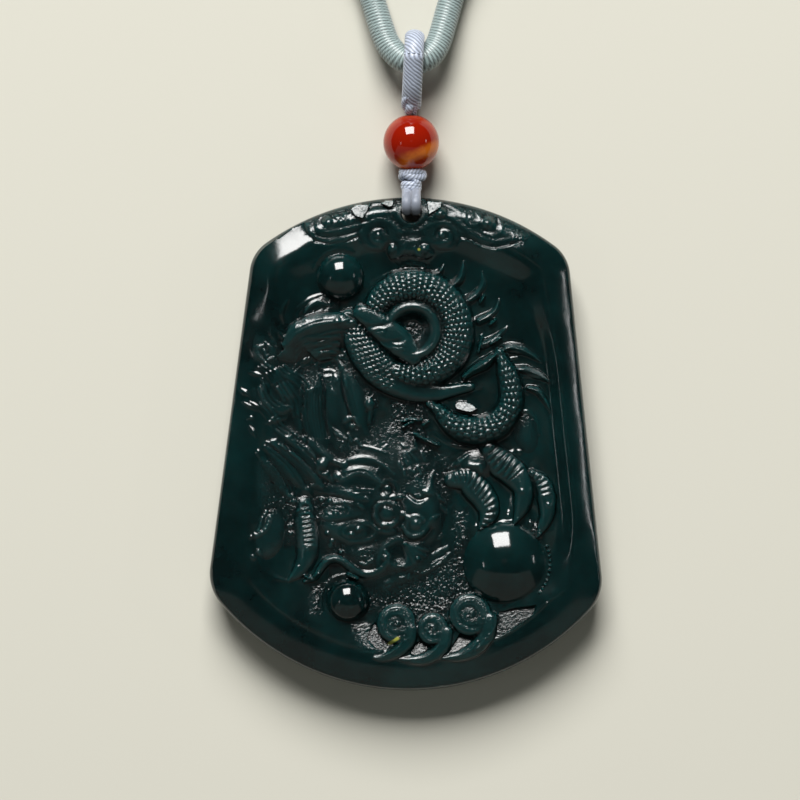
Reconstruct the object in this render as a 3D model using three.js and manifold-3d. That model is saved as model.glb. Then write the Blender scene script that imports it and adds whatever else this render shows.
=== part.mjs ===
// Jade dragon pendant: a carved plaque, an agate bead, a tied hanger cord and a neck cord.
// Millimetres. The plaque lies on its flat back on z = 0, face up, with its hole toward +Y.
import * as THREE from "three";
import { mergeVertices } from "three/addons/utils/BufferGeometryUtils.js";
import Module from "manifold-3d";

const wasm = await Module();
wasm.setup();

const DEG = Math.PI / 180;

// Driving dimensions: the plaque
const PLAQUE_RADIUS = 26.35; // the round top and bottom ends lie on one circle
const PLAQUE_THICKNESS = 6; // at the crest of the rim
const SIDE_REACH = { right: 19.1, left: 19.28 }; // from the centre to each straight side
const SIDE_LEAN = { right: 6, left: 7.6 }; // degrees, so that the plaque widens downward
const TOP_CORNER = 4.2; // radius
const BOTTOM_CORNER = 5; // radius
const FRONT_ROUND = 2.2; // radius of the rim's front edge
const BACK_ROUND = 3.2; // radius of the back edge, which leaves room for the cord under the hole
const RIM_WIDTH = 2.9;
const RIM_SLOPE = 0.7;
const FIELD = 4.6; // height of the sunk field under the dragon
const CARVING_FOOT = 0.5; // how far each carved form is rooted in the field
const HOLE = { x: 0.3, y: 24.65, diameter: 2 };

// Driving dimensions: the bead and the hanger cord
const BEAD = { x: 0.3, y: 32.26, z: 3, diameter: 6, bore: 1.8 };
const STRAND = { diameter: 0.8, spread: 0.84 }; // the two strands side by side in the hole
const STEM_DIAMETER = 1.2; // the cord inside the bead
const SURFACE_GAP = 0.05; // between the bail and the surface that the pendant lies on
const KNOT_HEIGHT = 3; // above that surface
const LOWER_KNOT = { y: 27.42, width: 2.4, length: 1.2, depth: 1.8 };
const UPPER_KNOT = { y: 28.35, width: 1.9, length: 1.4, depth: 2, apart: 1.4 };
const BAIL_KNOT = { y: 36.1, width: 2.2, length: 1.3, depth: 2 };
const BAIL = { top: 44.35, width: 2.15, thick: 1.6, bend: 2.55, lean: 0.05 };

// Driving dimensions: the neck cord and its coil
const CORD_DIAMETER = 2.8;
const COIL = { x: 0.4, y: 78, innerRadius: 11.2, outerRadius: 21, layers: 2 };

// Facets
const END_STEPS = 12;
const CORNER_STEPS = 4;
const ROUND_STEPS = 3;
const RING_SEGMENTS = 24;
const TUBE_SIDES = 8;
const ARCH_STEPS = 4;
const ANGLE_STEP = 30; // degrees between the points of an arc

// A closed skin over rings that all have the same number of points, with a fan over each end.
function skin(rings) {
  const count = rings[0].length;
  const last = (rings.length - 1) * count;
  const points = rings.flat();
  const middle = (ring) => ring.reduce((sum, p) => sum.add(p), new THREE.Vector3()).divideScalar(count);
  const startFan = points.push(middle(rings[0])) - 1;
  const endFan = points.push(middle(rings[rings.length - 1])) - 1;
  const index = [];
  for (let j = 0; j < count; j++) {
    const k = (j + 1) % count;
    index.push(startFan, k, j, endFan, last + j, last + k);
    for (let i = 0; i < last; i += count) {
      index.push(i + j, i + k, i + k + count, i + j, i + k + count, i + j + count);
    }
  }
  return new THREE.BufferGeometry().setFromPoints(points).setIndex(index);
}

// A closed geometry as a solid that can be joined and cut.
function solid(geometry) {
  const bare = geometry.clone();
  bare.deleteAttribute("normal");
  bare.deleteAttribute("uv");
  const merged = mergeVertices(bare, 1e-4);
  const vertProperties = new Float32Array(merged.attributes.position.array);
  const triVerts = new Uint32Array(merged.index.array);
  return new wasm.Manifold(new wasm.Mesh({ numProp: 3, vertProperties, triVerts }));
}

// A solid as a geometry again.
function geometryOf(made) {
  const mesh = made.getMesh();
  const geometry = new THREE.BufferGeometry();
  geometry.setAttribute("position", new THREE.BufferAttribute(mesh.vertProperties, mesh.numProp));
  return geometry.setIndex(new THREE.BufferAttribute(mesh.triVerts, 1)).toNonIndexed();
}

function joined(geometries) {
  return wasm.Manifold.union(geometries.map(solid));
}

// The arc that rounds the corner between a straight side and the plaque's circle.
function cornerArc(side, end, radius) {
  const lean = SIDE_LEAN[side] * DEG;
  const sideAngle = side === "right" ? lean : Math.PI - lean;
  const out = SIDE_REACH[side] - radius;
  const along = Math.sqrt((PLAQUE_RADIUS - radius) ** 2 - out ** 2);
  const turn = (side === "right") === (end === "top") ? 1 : -1;
  const centre = new THREE.Vector2(out, turn * along).rotateAround(new THREE.Vector2(), sideAngle);
  return { centre, radius, sideAngle, circleAngle: centre.angle() };
}

// The plaque's outline at a height, moved inward by an inset.
function outlineRing(inset, z) {
  const rightTop = cornerArc("right", "top", TOP_CORNER);
  const leftTop = cornerArc("left", "top", TOP_CORNER);
  const leftBottom = cornerArc("left", "bottom", BOTTOM_CORNER);
  const rightBottom = cornerArc("right", "bottom", BOTTOM_CORNER);
  const circle = { centre: new THREE.Vector2(), radius: PLAQUE_RADIUS };
  const arcs = [
    [rightTop, rightTop.sideAngle, rightTop.circleAngle, CORNER_STEPS, false],
    [circle, rightTop.circleAngle, leftTop.circleAngle, END_STEPS, false],
    [leftTop, leftTop.circleAngle, leftTop.sideAngle, CORNER_STEPS, true],
    [leftBottom, leftBottom.sideAngle, leftBottom.circleAngle, CORNER_STEPS, false],
    [circle, leftBottom.circleAngle, rightBottom.circleAngle, END_STEPS, false],
    [rightBottom, rightBottom.circleAngle, rightBottom.sideAngle + 2 * Math.PI, CORNER_STEPS, true],
  ];
  const ring = [];
  for (const [arc, from, to, steps, endsAtSide] of arcs) {
    const points = endsAtSide ? steps + 1 : steps;
    for (let i = 0; i < points; i++) {
      const angle = from + ((to - from) * i) / steps;
      const reach = arc.radius - inset;
      ring.push(new THREE.Vector3(
        arc.centre.x + reach * Math.cos(angle), arc.centre.y + reach * Math.sin(angle), z,
      ));
    }
  }
  return ring;
}

// The slab with its rounded back and front edges.
function slab() {
  const rings = [];
  for (let i = 0; i <= ROUND_STEPS; i++) {
    const angle = (Math.PI / 2) * (1 - i / ROUND_STEPS);
    rings.push(outlineRing(BACK_ROUND * (1 - Math.cos(angle)), BACK_ROUND * (1 - Math.sin(angle))));
  }
  for (let i = 0; i <= ROUND_STEPS; i++) {
    const angle = (Math.PI / 2) * (i / ROUND_STEPS);
    const z = PLAQUE_THICKNESS - FRONT_ROUND * (1 - Math.sin(angle));
    rings.push(outlineRing(FRONT_ROUND * (1 - Math.cos(angle)), z));
  }
  return skin(rings);
}

// What is cut away above the field, inside the rim.
function fieldCut() {
  const above = PLAQUE_THICKNESS + 1;
  return skin([
    outlineRing(RIM_WIDTH + RIM_SLOPE, FIELD),
    outlineRing(RIM_WIDTH, PLAQUE_THICKNESS),
    outlineRing(RIM_WIDTH, above),
  ]);
}

// A value between the entries of a list, for t from 0 to 1.
function between(values, t) {
  const place = t * (values.length - 1);
  const i = Math.floor(place);
  return THREE.MathUtils.lerp(values[i], values[i + 1] ?? values[i], place - i);
}

// A smooth path on the plaque's face through points given as x, y pairs.
function through(...places) {
  return new THREE.CatmullRomCurve3(places.map(([x, y]) => new THREE.Vector3(x, y, 0)));
}

// A place at a distance from a centre, with the angle in degrees.
function around(centre, radius, angle) {
  return [centre.x + radius * Math.cos(angle * DEG), centre.y + radius * Math.sin(angle * DEG)];
}

// An arc or a spiral on the plaque's face, with angles in degrees.
function spiral(centre, fromRadius, toRadius, fromAngle, toAngle) {
  const points = Math.max(4, Math.ceil(Math.abs(toAngle - fromAngle) / ANGLE_STEP));
  const places = [];
  for (let i = 0; i <= points; i++) {
    const radius = THREE.MathUtils.lerp(fromRadius, toRadius, i / points);
    const angle = THREE.MathUtils.lerp(fromAngle, toAngle, i / points);
    places.push(around(centre, radius, angle));
  }
  return through(...places);
}

// A rounded ridge along a path: half widths and rises above the field are spread along it.
function ridge(path, halfWidths, rises, steps = 8) {
  const rings = [];
  for (let i = 0; i <= steps; i++) {
    const t = i / steps;
    const centre = path.getPointAt(t);
    const ahead = path.getTangentAt(t);
    const side = new THREE.Vector3(-ahead.y, ahead.x, 0).normalize();
    const halfWidth = between(halfWidths, t);
    const rise = between(rises, t);
    const place = (across, up) => centre.clone().addScaledVector(side, across).setZ(FIELD + up);
    const ring = [];
    for (let j = 0; j <= ARCH_STEPS; j++) {
      const angle = (Math.PI * j) / ARCH_STEPS;
      ring.push(place(halfWidth * Math.cos(angle), rise * Math.sin(angle)));
    }
    ring.push(place(-halfWidth, -CARVING_FOOT), place(halfWidth, -CARVING_FOOT));
    rings.push(ring);
  }
  return skin(rings);
}

// A dome on the field, round or drawn out to an oval that is turned by an angle in degrees.
function dome(x, y, radius, rise, stretch = 1, turn = 0) {
  const segments = Math.max(10, Math.round(RING_SEGMENTS * Math.min(1, radius / 3)));
  const profile = [new THREE.Vector2(0, -CARVING_FOOT), new THREE.Vector2(radius, -CARVING_FOOT)];
  for (let i = 0; i <= ARCH_STEPS; i++) {
    const angle = (Math.PI / 2) * (i / ARCH_STEPS);
    profile.push(new THREE.Vector2(i < ARCH_STEPS ? radius * Math.cos(angle) : 0, rise * Math.sin(angle)));
  }
  const geometry = new THREE.LatheGeometry(profile, segments);
  geometry.rotateX(Math.PI / 2);
  geometry.scale(stretch, 1, 1);
  geometry.rotateZ(turn * DEG);
  return geometry.translate(x, y, FIELD);
}

// A flat-bottomed ring on the field.
function ringRidge(x, y, innerRadius, outerRadius, rise) {
  const middle = (innerRadius + outerRadius) / 2;
  const half = (outerRadius - innerRadius) / 2;
  const profile = [
    new THREE.Vector2(innerRadius, -CARVING_FOOT),
    new THREE.Vector2(outerRadius, -CARVING_FOOT),
  ];
  for (let i = 0; i <= ARCH_STEPS; i++) {
    const angle = (Math.PI * i) / ARCH_STEPS;
    profile.push(new THREE.Vector2(middle + half * Math.cos(angle), rise * Math.sin(angle)));
  }
  profile.push(profile[0].clone());
  return new THREE.LatheGeometry(profile, RING_SEGMENTS).rotateX(Math.PI / 2).translate(x, y, FIELD);
}

// The three flaming pearls.
function pearls() {
  const places = [
    { x: -7.3, y: 17.9, radius: 2.55, rise: 1.9 },
    { x: 10.3, y: -12.7, radius: 4.35, rise: 2.4 },
    { x: -6.5, y: -16.7, radius: 2.3, rise: 1.8 },
  ];
  return places.map((pearl) => dome(pearl.x, pearl.y, pearl.radius, pearl.rise));
}

// The coil of the scaled body, with its smooth belly ring and the flame fins along its right.
function bodyCoil() {
  const centre = { x: 0.4, y: 12.1 };
  const spine = { radius: 4.7, from: 132, to: -116 };
  const path = spiral(centre, spine.radius, spine.radius, spine.from, spine.to);
  const forms = [
    ridge(path, [1.5, 1.95, 1.95, 1.5], [1.7, 2.2, 2.2, 1.6], 16),
    ringRidge(centre.x, centre.y, 1.15, 2.65, 1.5),
  ];
  const finRoot = 6.2;
  const finSweep = 9;
  const fins = [
    { angle: 64, reach: 7.4 },
    { angle: 46, reach: 8.2 },
    { angle: 26, reach: 8.9 },
    { angle: 4, reach: 9.3 },
    { angle: -16, reach: 9.4 },
  ];
  for (const { angle, reach } of fins) {
    const root = around(centre, finRoot, angle);
    const tip = around(centre, reach, angle + finSweep);
    forms.push(ridge(through(root, tip), [1.1, 0.25], [1.5, 0.9], 2));
  }
  return forms;
}

// The strip of body that passes under the coil, the limb across it, and the looped tail with its spines.
function bodyAndTail() {
  const strip = through([-6.8, 10.8], [-3.9, 9], [-0.4, 6.4], [4.2, 5.7], [7.1, 6.3]);
  const limb = through([-5.2, 14.5], [-3, 13.1], [-0.3, 11.1]);
  const tail = through(
    [3.4, 4.1], [4.8, 2.3], [7.1, 1.4], [9.5, 2.1], [10.9, 4.2], [10.9, 6.4], [10.2, 8.3], [9.5, 9.6],
  );
  const forms = [
    ridge(strip, [0.9, 1.3, 1.2, 0.6], [1.5, 1.6, 1.5, 1]),
    ridge(limb, [0.5, 1, 0.3], [1.8, 2.3, 1.8], 5),
    ridge(tail, [0.9, 1.6, 1.6, 1.5, 0.9], [1.6, 2.1, 2.1, 2, 1.5], 14),
  ];
  for (const [x, y] of [[10.8, 10.2], [12.3, 7.9], [12.7, 5.4]]) {
    const spine = through([x, y], [x + 1.7, y - 0.4], [x + 3.1, y - 1.7]);
    forms.push(ridge(spine, [0.5, 0.7, 0.2], [1.4, 1.4, 0.8], 3));
  }
  return forms;
}

// The mane on the left: a long whisker ridge, the swept hair and the pointed locks at the rim.
function mane() {
  const whisker = through([-12.7, 10.7], [-11.3, 11.9], [-9.3, 12.7], [-5.2, 13.7]);
  const curl = through([-12, 12.4], [-11.5, 14.2], [-10.4, 15.3], [-9, 15.9]);
  const longHair = through([-9, 7.7], [-10.1, 5.2], [-10, 2.6], [-8.6, -0.4], [-6.3, -1.5]);
  const shortHair = through([-6, 6], [-6.2, 3], [-5, 0.5]);
  const upperLock = through([-15.2, 0.3], [-12.5, -1.2], [-9.3, -3.7]);
  const lowerLock = through([-15.2, -0.6], [-13.3, -3], [-10.8, -5.6]);
  const forms = [
    ridge(whisker, [0.3, 0.6, 0.4], [1, 1.6, 1.4], 6),
    ridge(curl, [0.4, 0.6, 0.3], [1.1, 1.3, 1], 5),
    ridge(longHair, [1.2, 1.6, 1.5, 0.7], [1.2, 1.4, 1.4, 1.8]),
    ridge(shortHair, [1.2, 1.5, 1], [1.2, 1.3, 1.4], 5),
    ridge(upperLock, [0.3, 0.9, 0.6], [0.9, 1.3, 1.5], 5),
    ridge(lowerLock, [0.3, 0.9, 0.5], [0.9, 1.2, 1.3], 5),
  ];
  for (const [x, y] of [[-13.6, 13.8], [-14.6, 11.4], [-15.7, 9], [-16.3, 6.4], [-16.6, 3.8]]) {
    forms.push(ridge(through([x + 2.2, y - 1.8], [x, y]), [0.9, 0.2], [1.1, 1.1], 2));
  }
  return forms;
}

// The head in the lower middle, which looks to the right, with its curling whisker.
function head() {
  const upperBrow = through([-7.3, -2.1], [-5.2, -1.3], [-2.5, -2]);
  const lowerBrow = through([-7.3, -3.8], [-5.2, -2.9], [-2.7, -3.8]);
  const upperLip = through([-2.7, -10.7], [-0.2, -10.9], [1.2, -12.4]);
  const jaw = through([-2.5, -14.5], [0.3, -14], [3.4, -12.6], [5.7, -11.7]);
  const whisker = through(
    [-2.4, -11.9], [-3, -13.3], [-4.8, -13.8], [-6.4, -13.1],
    [-7.9, -12.3], [-9, -12.9], [-9.6, -14], [-11, -14.2],
  );
  const skull = dome(-4.6, -5.2, 2.6, 1.9, 1.35);
  const backCheek = dome(-8, -7.4, 1.6, 1.6, 1.4);
  const frontCheek = dome(-5.5, -9.2, 1.5, 1.7, 1.5);
  const eye = dome(-2.4, -7.3, 1.05, 2.3);
  const muzzle = dome(1, -7.6, 2, 2.3, 1.2, 15);
  const nostril = dome(0.9, -9.3, 1.1, 2.2);
  return [
    skull, backCheek, frontCheek, eye, muzzle, nostril,
    ridge(upperBrow, [0.4, 0.9, 0.5], [1.8, 2.4, 1.9], 4),
    ridge(lowerBrow, [0.4, 0.8, 0.4], [1.9, 2.4, 2], 4),
    ridge(upperLip, [0.9, 1, 0.7], [1.7, 1.8, 1.5], 4),
    ridge(jaw, [0.5, 0.9, 0.8, 0.3], [1.3, 1.7, 1.5, 1.1], 5),
    ridge(whisker, [0.5, 0.45, 0.3], [1.4, 1.4, 1], 11),
  ];
}

// The two clawed feet: three ribbed fingers over the great pearl, and two at the left.
function claws() {
  const fingers = [
    [[5.7, -2.6], [7.7, -4.7], [8.7, -8.1]],
    [[8.7, -1.3], [11.1, -3.2], [12.4, -5.5], [11.6, -8.1]],
    [[13.6, -3.2], [15, -4.9], [15.1, -7.3], [14.3, -9.7]],
    [[-14.7, -7.2], [-14.9, -9.6], [-14.6, -12], [-13.5, -14]],
    [[-11.3, -7.2], [-10.7, -9.2], [-10.5, -11.6], [-12.3, -14]],
  ];
  return fingers.map((places) => ridge(through(...places), [0.9, 1.25, 1, 0.35], [1.7, 2, 2.1, 1.6], 6));
}

// The scrolling waves along the bottom, each with a bead in it and a tail down to the rim.
function waves() {
  const pipe = 0.62;
  const eye = 0.55;
  const scrolls = [
    { x: -1.2, y: -19.2, radius: 1.75 },
    { x: 2.6, y: -19.7, radius: 1.45 },
    { x: 6.6, y: -18.2, radius: 1.8 },
  ];
  const forms = [];
  for (const { x, y, radius } of scrolls) {
    const low = y - radius;
    const tail = through([x + 0.6, low], [x - 0.3, low - 1.4], [x - 2.2, low - 2.3]);
    forms.push(dome(x, y, eye, 1.6));
    forms.push(ridge(spiral({ x, y }, radius, radius, 200, -70), [pipe], [1.7], 9));
    forms.push(ridge(tail, [pipe, 0.5, 0.2], [1.7, 1.5, 1.3], 3));
  }
  return forms;
}

// The cloud scrolls on both sides of the hole.
function cloudScrolls() {
  const rise = 1.75;
  const curls = [
    { x: -8.6, y: 23.7, radius: 1.1, from: 30, to: 330 },
    { x: -3.4, y: 22.3, radius: 1.15, from: 100, to: -200 },
    { x: 3.9, y: 22.4, radius: 1.15, from: 80, to: 380 },
    { x: 8.6, y: 23.3, radius: 1.1, from: 150, to: -150 },
  ];
  const leafRadius = 0.75;
  const leafStretch = 1.3;
  const leaves = [[-3.6, 24.6], [3.7, 24.5], [-1.5, 20.9], [1.9, 20.9]];
  const leftSweep = through([-7.6, 22.6], [-5.8, 22.7], [-4.6, 23.4]);
  const rightSweep = through([4.9, 23.6], [6.4, 22.6], [8.6, 21.9], [10.2, 21.6]);
  return [
    ...curls.map((c) => ridge(spiral(c, c.radius, c.radius * 0.8, c.from, c.to), [0.4], [rise], 9)),
    ...leaves.map(([x, y]) => dome(x, y, leafRadius, rise, leafStretch)),
    ridge(leftSweep, [0.35, 0.5, 0.3], [rise], 3),
    ridge(rightSweep, [0.3, 0.5, 0.3], [rise], 4),
  ];
}

// The plaque with its carving and its drilled hole.
function jadePlaque() {
  const ground = solid(slab()).subtract(solid(fieldCut()));
  const carving = joined([
    ...pearls(), ...bodyCoil(), ...bodyAndTail(), ...mane(),
    ...head(), ...claws(), ...waves(), ...cloudScrolls(),
  ]);
  const holeRadius = HOLE.diameter / 2;
  const drill = new THREE.CylinderGeometry(holeRadius, holeRadius, 4 * PLAQUE_THICKNESS, 20);
  drill.rotateX(Math.PI / 2).translate(HOLE.x, HOLE.y, 0);
  return geometryOf(ground.add(carving).subtract(solid(drill)));
}

// A round bead with its bore along Y.
function agateBead() {
  const radius = BEAD.diameter / 2;
  const steps = 10;
  const mouth = Math.acos(BEAD.bore / BEAD.diameter);
  const profile = [];
  for (let i = 0; i <= steps; i++) {
    const angle = THREE.MathUtils.lerp(-mouth, mouth, i / steps);
    profile.push(new THREE.Vector2(Math.cos(angle), Math.sin(angle)).multiplyScalar(radius));
  }
  profile.push(profile[0].clone());
  return new THREE.LatheGeometry(profile, RING_SEGMENTS).translate(BEAD.x, BEAD.y, BEAD.z);
}

// A tube of a round or oval section along a path.
function tube(path, steps, width, thick = width) {
  const section = new THREE.Shape().absellipse(0, 0, width / 2, thick / 2, 0, 2 * Math.PI);
  return new THREE.ExtrudeGeometry(section, {
    extrudePath: path,
    steps,
    curveSegments: TUBE_SIDES / 2, // an ellipse takes two points for each
    bevelEnabled: false,
  });
}

function knotLobe(x, knot) {
  const lobe = new THREE.SphereGeometry(0.5, 8, 6);
  return lobe.scale(knot.width, knot.length, knot.depth).translate(x, knot.y, KNOT_HEIGHT);
}

// One strand from the lower knot over the front edge, through the hole and back under the back edge.
function strand(x) {
  const route = [
    [27.45, 3.2], [27, 4.3], [26.4, 5.5], [25.7, 6.1], [25, 5.8], [24.85, 4.6],
    [24.85, 1.8], [25.05, 0.85], [25.75, 0.5], [26.5, 1.1], [27, 2.1], [27.45, 2.9],
  ];
  const path = new THREE.CatmullRomCurve3(route.map(([y, z]) => new THREE.Vector3(x, y, z)));
  return tube(path, 17, STRAND.diameter);
}

// The thread-wrapped loop that the neck cord runs through, standing on edge.
function bailLoop() {
  const bendY = BAIL.top - BAIL.thick / 2 - BAIL.bend;
  const bendZ = BAIL.thick / 2 + BAIL.bend + SURFACE_GAP;
  const place = (y, z) => new THREE.Vector3(BEAD.x + BAIL.lean * (y - BAIL_KNOT.y), y, z);
  const points = [place(BAIL_KNOT.y, KNOT_HEIGHT), place(BAIL_KNOT.y + 1.5, 1.7)];
  const turns = 8;
  for (let i = 0; i <= turns; i++) {
    const angle = -Math.PI / 2 + (Math.PI * i) / turns;
    points.push(place(bendY + BAIL.bend * Math.cos(angle), bendZ + BAIL.bend * Math.sin(angle)));
  }
  points.push(place(BAIL_KNOT.y + 2, 4.9), place(BAIL_KNOT.y, KNOT_HEIGHT + 0.2));
  return tube(new THREE.CatmullRomCurve3(points), 20, BAIL.width, BAIL.thick);
}

// The tied hanger cord: two strands through the hole, the knots, the stem in the bead and the bail.
function hangerCord() {
  const stemLength = BAIL_KNOT.y - LOWER_KNOT.y;
  const stem = new THREE.CylinderGeometry(STEM_DIAMETER / 2, STEM_DIAMETER / 2, stemLength, 10);
  const pieces = [
    strand(HOLE.x - STRAND.spread / 2),
    strand(HOLE.x + STRAND.spread / 2),
    knotLobe(HOLE.x, LOWER_KNOT),
    knotLobe(BEAD.x - UPPER_KNOT.apart / 2, UPPER_KNOT),
    knotLobe(BEAD.x + UPPER_KNOT.apart / 2, UPPER_KNOT),
    stem.translate(BEAD.x, LOWER_KNOT.y + stemLength / 2, KNOT_HEIGHT),
    knotLobe(BEAD.x, BAIL_KNOT),
    bailLoop(),
  ];
  return geometryOf(joined(pieces));
}

// One lead of the neck cord, from the middle of the bail to the coil, through points chosen by hand.
function cordLead(points) {
  const path = new THREE.CatmullRomCurve3(points.map((point) => new THREE.Vector3(...point)));
  return tube(path, 12, CORD_DIAMETER);
}

function rightLead() {
  return cordLead([
    [0.85, 41, 3.4], [1.75, 41.15, 3.35], [2.7, 42, 3], [3.4, 43.5, 2.5],
    [4.55, 47.5, 1.6], [5.6, 50.6, 1.42], [7.6, 53.9, 1.42], [9.9, 57.2, 1.42],
  ]);
}

function leftLead() {
  return cordLead([
    [0.3, 41, 3.4], [-0.6, 41.15, 3.35], [-1.6, 42, 3], [-2.5, 43.5, 2.5],
    [-3.8, 47.5, 1.6], [-4.85, 50.6, 1.42], [-6.8, 53.9, 1.42], [-9.1, 57.2, 1.42],
  ]);
}

// The outer shape of the wound rest of the neck cord.
function cordCoil() {
  const height = COIL.layers * CORD_DIAMETER;
  const ease = CORD_DIAMETER / 3;
  const { innerRadius, outerRadius } = COIL;
  const profile = [
    new THREE.Vector2(innerRadius + ease, 0),
    new THREE.Vector2(outerRadius - ease, 0),
    new THREE.Vector2(outerRadius, ease),
    new THREE.Vector2(outerRadius, height - ease),
    new THREE.Vector2(outerRadius - ease, height),
    new THREE.Vector2(innerRadius + ease, height),
    new THREE.Vector2(innerRadius, height - ease),
    new THREE.Vector2(innerRadius, ease),
  ];
  profile.push(profile[0].clone());
  return new THREE.LatheGeometry(profile, RING_SEGMENTS).rotateX(Math.PI / 2).translate(COIL.x, COIL.y, 0);
}

function part(name, geometry, color, roughness) {
  const material = new THREE.MeshStandardMaterial({ color, roughness, metalness: 0 });
  const mesh = new THREE.Mesh(geometry, material);
  mesh.name = name;
  return mesh;
}

const pendant = new THREE.Group();
pendant.add(
  part("jade_plaque", jadePlaque(), 0x0c2a2c, 0.12),
  part("agate_bead", agateBead(), 0xb8480f, 0.1),
  part("hanger_cord", hangerCord(), 0xb4b2c8, 0.8),
  part("neck_cord_right", rightLead(), 0x9fb0a8, 0.8),
  part("neck_cord_left", leftLead(), 0x9fb0a8, 0.8),
  part("neck_cord_coil", cordCoil(), 0x9fb0a8, 0.8),
);

export default pendant;
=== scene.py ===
"""Carved jade dragon pendant with an agate bead, a tied silk hanger and a thread wound neck cord.

The plaque lies on its back on the floor. Lengths in this file are millimetres unless a name says
otherwise, in the part's own frame: +X right, +Y toward the hole, +Z out of the carved face.
"""

import math

import bpy
import numpy as np
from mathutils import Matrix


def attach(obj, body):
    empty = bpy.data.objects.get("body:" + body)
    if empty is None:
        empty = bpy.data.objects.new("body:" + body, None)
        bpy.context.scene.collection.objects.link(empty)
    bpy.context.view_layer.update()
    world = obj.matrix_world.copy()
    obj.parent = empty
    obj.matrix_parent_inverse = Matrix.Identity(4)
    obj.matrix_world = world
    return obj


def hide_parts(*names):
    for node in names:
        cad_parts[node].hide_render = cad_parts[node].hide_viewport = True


bl_info = {
    "name": "Jade dragon pendant",
    "version": (1, 0, 0),
    "blender": (4, 5, 0),
    "location": "View3D > Sidebar > Pendant",
    "description": "Builds the finished looks of a carved jade pendant round its CAD frame",
    "category": "Object",
}

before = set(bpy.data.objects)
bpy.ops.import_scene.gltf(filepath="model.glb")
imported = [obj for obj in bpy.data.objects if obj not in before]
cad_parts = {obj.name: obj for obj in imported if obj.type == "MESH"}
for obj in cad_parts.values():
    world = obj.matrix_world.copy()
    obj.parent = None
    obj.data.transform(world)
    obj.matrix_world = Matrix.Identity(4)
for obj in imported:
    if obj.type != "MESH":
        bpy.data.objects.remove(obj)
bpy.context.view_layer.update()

MM = 0.001  # metres in a millimetre

# The plaque's outline
END_RADIUS = 26.35
SIDE_REACH = {"right": 19.1, "left": 19.28}
SIDE_LEAN = {"right": 6.0, "left": 7.6}
CORNER = {"top": 4.2, "bottom": 5.0}
HOLE = (0.3, 24.65)
# Radius and height along the hole
DRILL = [(1.5, -0.6), (1.3, 0.0), (1.02, 0.7), (1.0, 4.4), (1.04, 5.1), (1.25, 5.7), (1.6, 6.6)]

# The plaque's heights over its flat back, and how finely its face is cut
CREST = 5.75
RIM_OVER = 0.1  # what rounding the crest over takes off again
RIM_DIP = 0.45  # how much lower the rim is on the left and at the bottom
FIELD = 4.6
BACK_ROUND = 3.2
EDGE_INSET = 0.34
EDGE_HEIGHT = 4.65
EDGE_CURVE = [(0, 3.6), (0, 4.2), (0.14, 4.48), (EDGE_INSET, EDGE_HEIGHT)]  # inset, height
LEANING = (-12.4, 21.6)  # where the rim leans most toward the top
STEPS_ACROSS = 520
STEPS_UP = 652
PLAQUE_TRIANGLES = 194000
CREASE = 32.0
STEEPEST = 0.46  # a carved line's height over its half width

# Places on the carved face
SMALL_PEARL = (-7.28, 17.87)
LOW_PEARL = (-6.47, -16.75)
BIG_PEARL = (10.27, -12.73)
COIL_MIDDLE = (0.43, 12.09)
FOREHEAD = (-2.19, -4.92)
EYE = (-2.3, -7.44)
STREAK = (-2.19, -21.4)  # where the stone's yellow streak starts
STREAK_WAY = (0.83, 0.558)
SPECK = (1.12, 20.76)  # the stone's yellow speck

# The bead and the hanger cord
BEAD_CENTRE = (0.3, 32.26, 3.0)
BEAD_RADIUS = 3.0
BEAD_BORE = 0.9
STEM = [(0.3, 28.2, 3.0), (0.3, 30.0, 3.0), (0.3, 34.0, 3.0), (0.31, 36.2, 3.0)]
STRAND_SPREAD = 1.0
STRAND_ROUTE = [
    (27.45, 3.2), (27.0, 4.3), (26.4, 5.5), (25.7, 6.1), (25.0, 5.8), (24.85, 4.6),
    (24.85, 1.8), (25.05, 0.85), (25.75, 0.5), (26.5, 1.1), (27.0, 2.1), (27.45, 2.9),
]
LOWER_KNOT = (0.3, 27.62, 3.5)
LOWER_KNOT_TURNS = 2.2
UPPER_KNOT = (0.3, 28.78, 3.1)
BAIL_FOOT = 36.1
BAIL_ARC = (41.0, 3.4, 2.55)
BAIL_DRIFT = 0.05

# The neck cord's route: two leads from the bail to a coil of two layers
BAIL_SEAT = (0.58, 40.98, 3.4)
RIGHT_LEAD = [
    (1.75, 41.15, 3.35), (2.7, 42.0, 3.0), (3.4, 43.5, 2.5), (4.55, 47.5, 1.6),
    (5.6, 50.6, 1.42), (7.6, 53.9, 1.42), (9.9, 57.2, 1.42), (12.1, 60.4, 1.42),
]
LEFT_LEAD = [
    (-0.6, 41.15, 3.35), (-1.6, 42.0, 3.0), (-2.5, 43.5, 2.5), (-3.8, 47.5, 1.6),
    (-4.85, 50.6, 1.42), (-6.8, 53.9, 1.42), (-9.1, 57.2, 1.6), (-11.3, 60.4, 2.2),
]
COIL_CENTRE = (0.4, 78.0)
COIL_OUTER = 19.6
COIL_INNER = 12.6
COIL_START = -34.5
COIL_SPIRAL_TURNS = 2.5
COIL_RAMP_TURNS = 249.0 / 360.0
COIL_LOW = 1.42
COIL_HIGH = 4.2
COIL_STEPS = 48  # points in a turn
NECK_CORD_RADIUS = 1.4
NECK_CORD_STEPS = 3.05  # points between two turns of its thread
TIE_ANGLE = 90.0
TIE_LIFT = 0.55
TIE_SPREAD = 14.0  # degrees of the coil over which the lift dies away
TIE_TURNS = 3
TIE_THREAD = 0.56
TIE_SQUARE = 0.3  # below 1, the tie's turns are squarer than round

# The middle of the picture, and the height that it is framed at, in metres
CAMERA_AIM = (-0.0009, 0.0047, 0.006)


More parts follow.
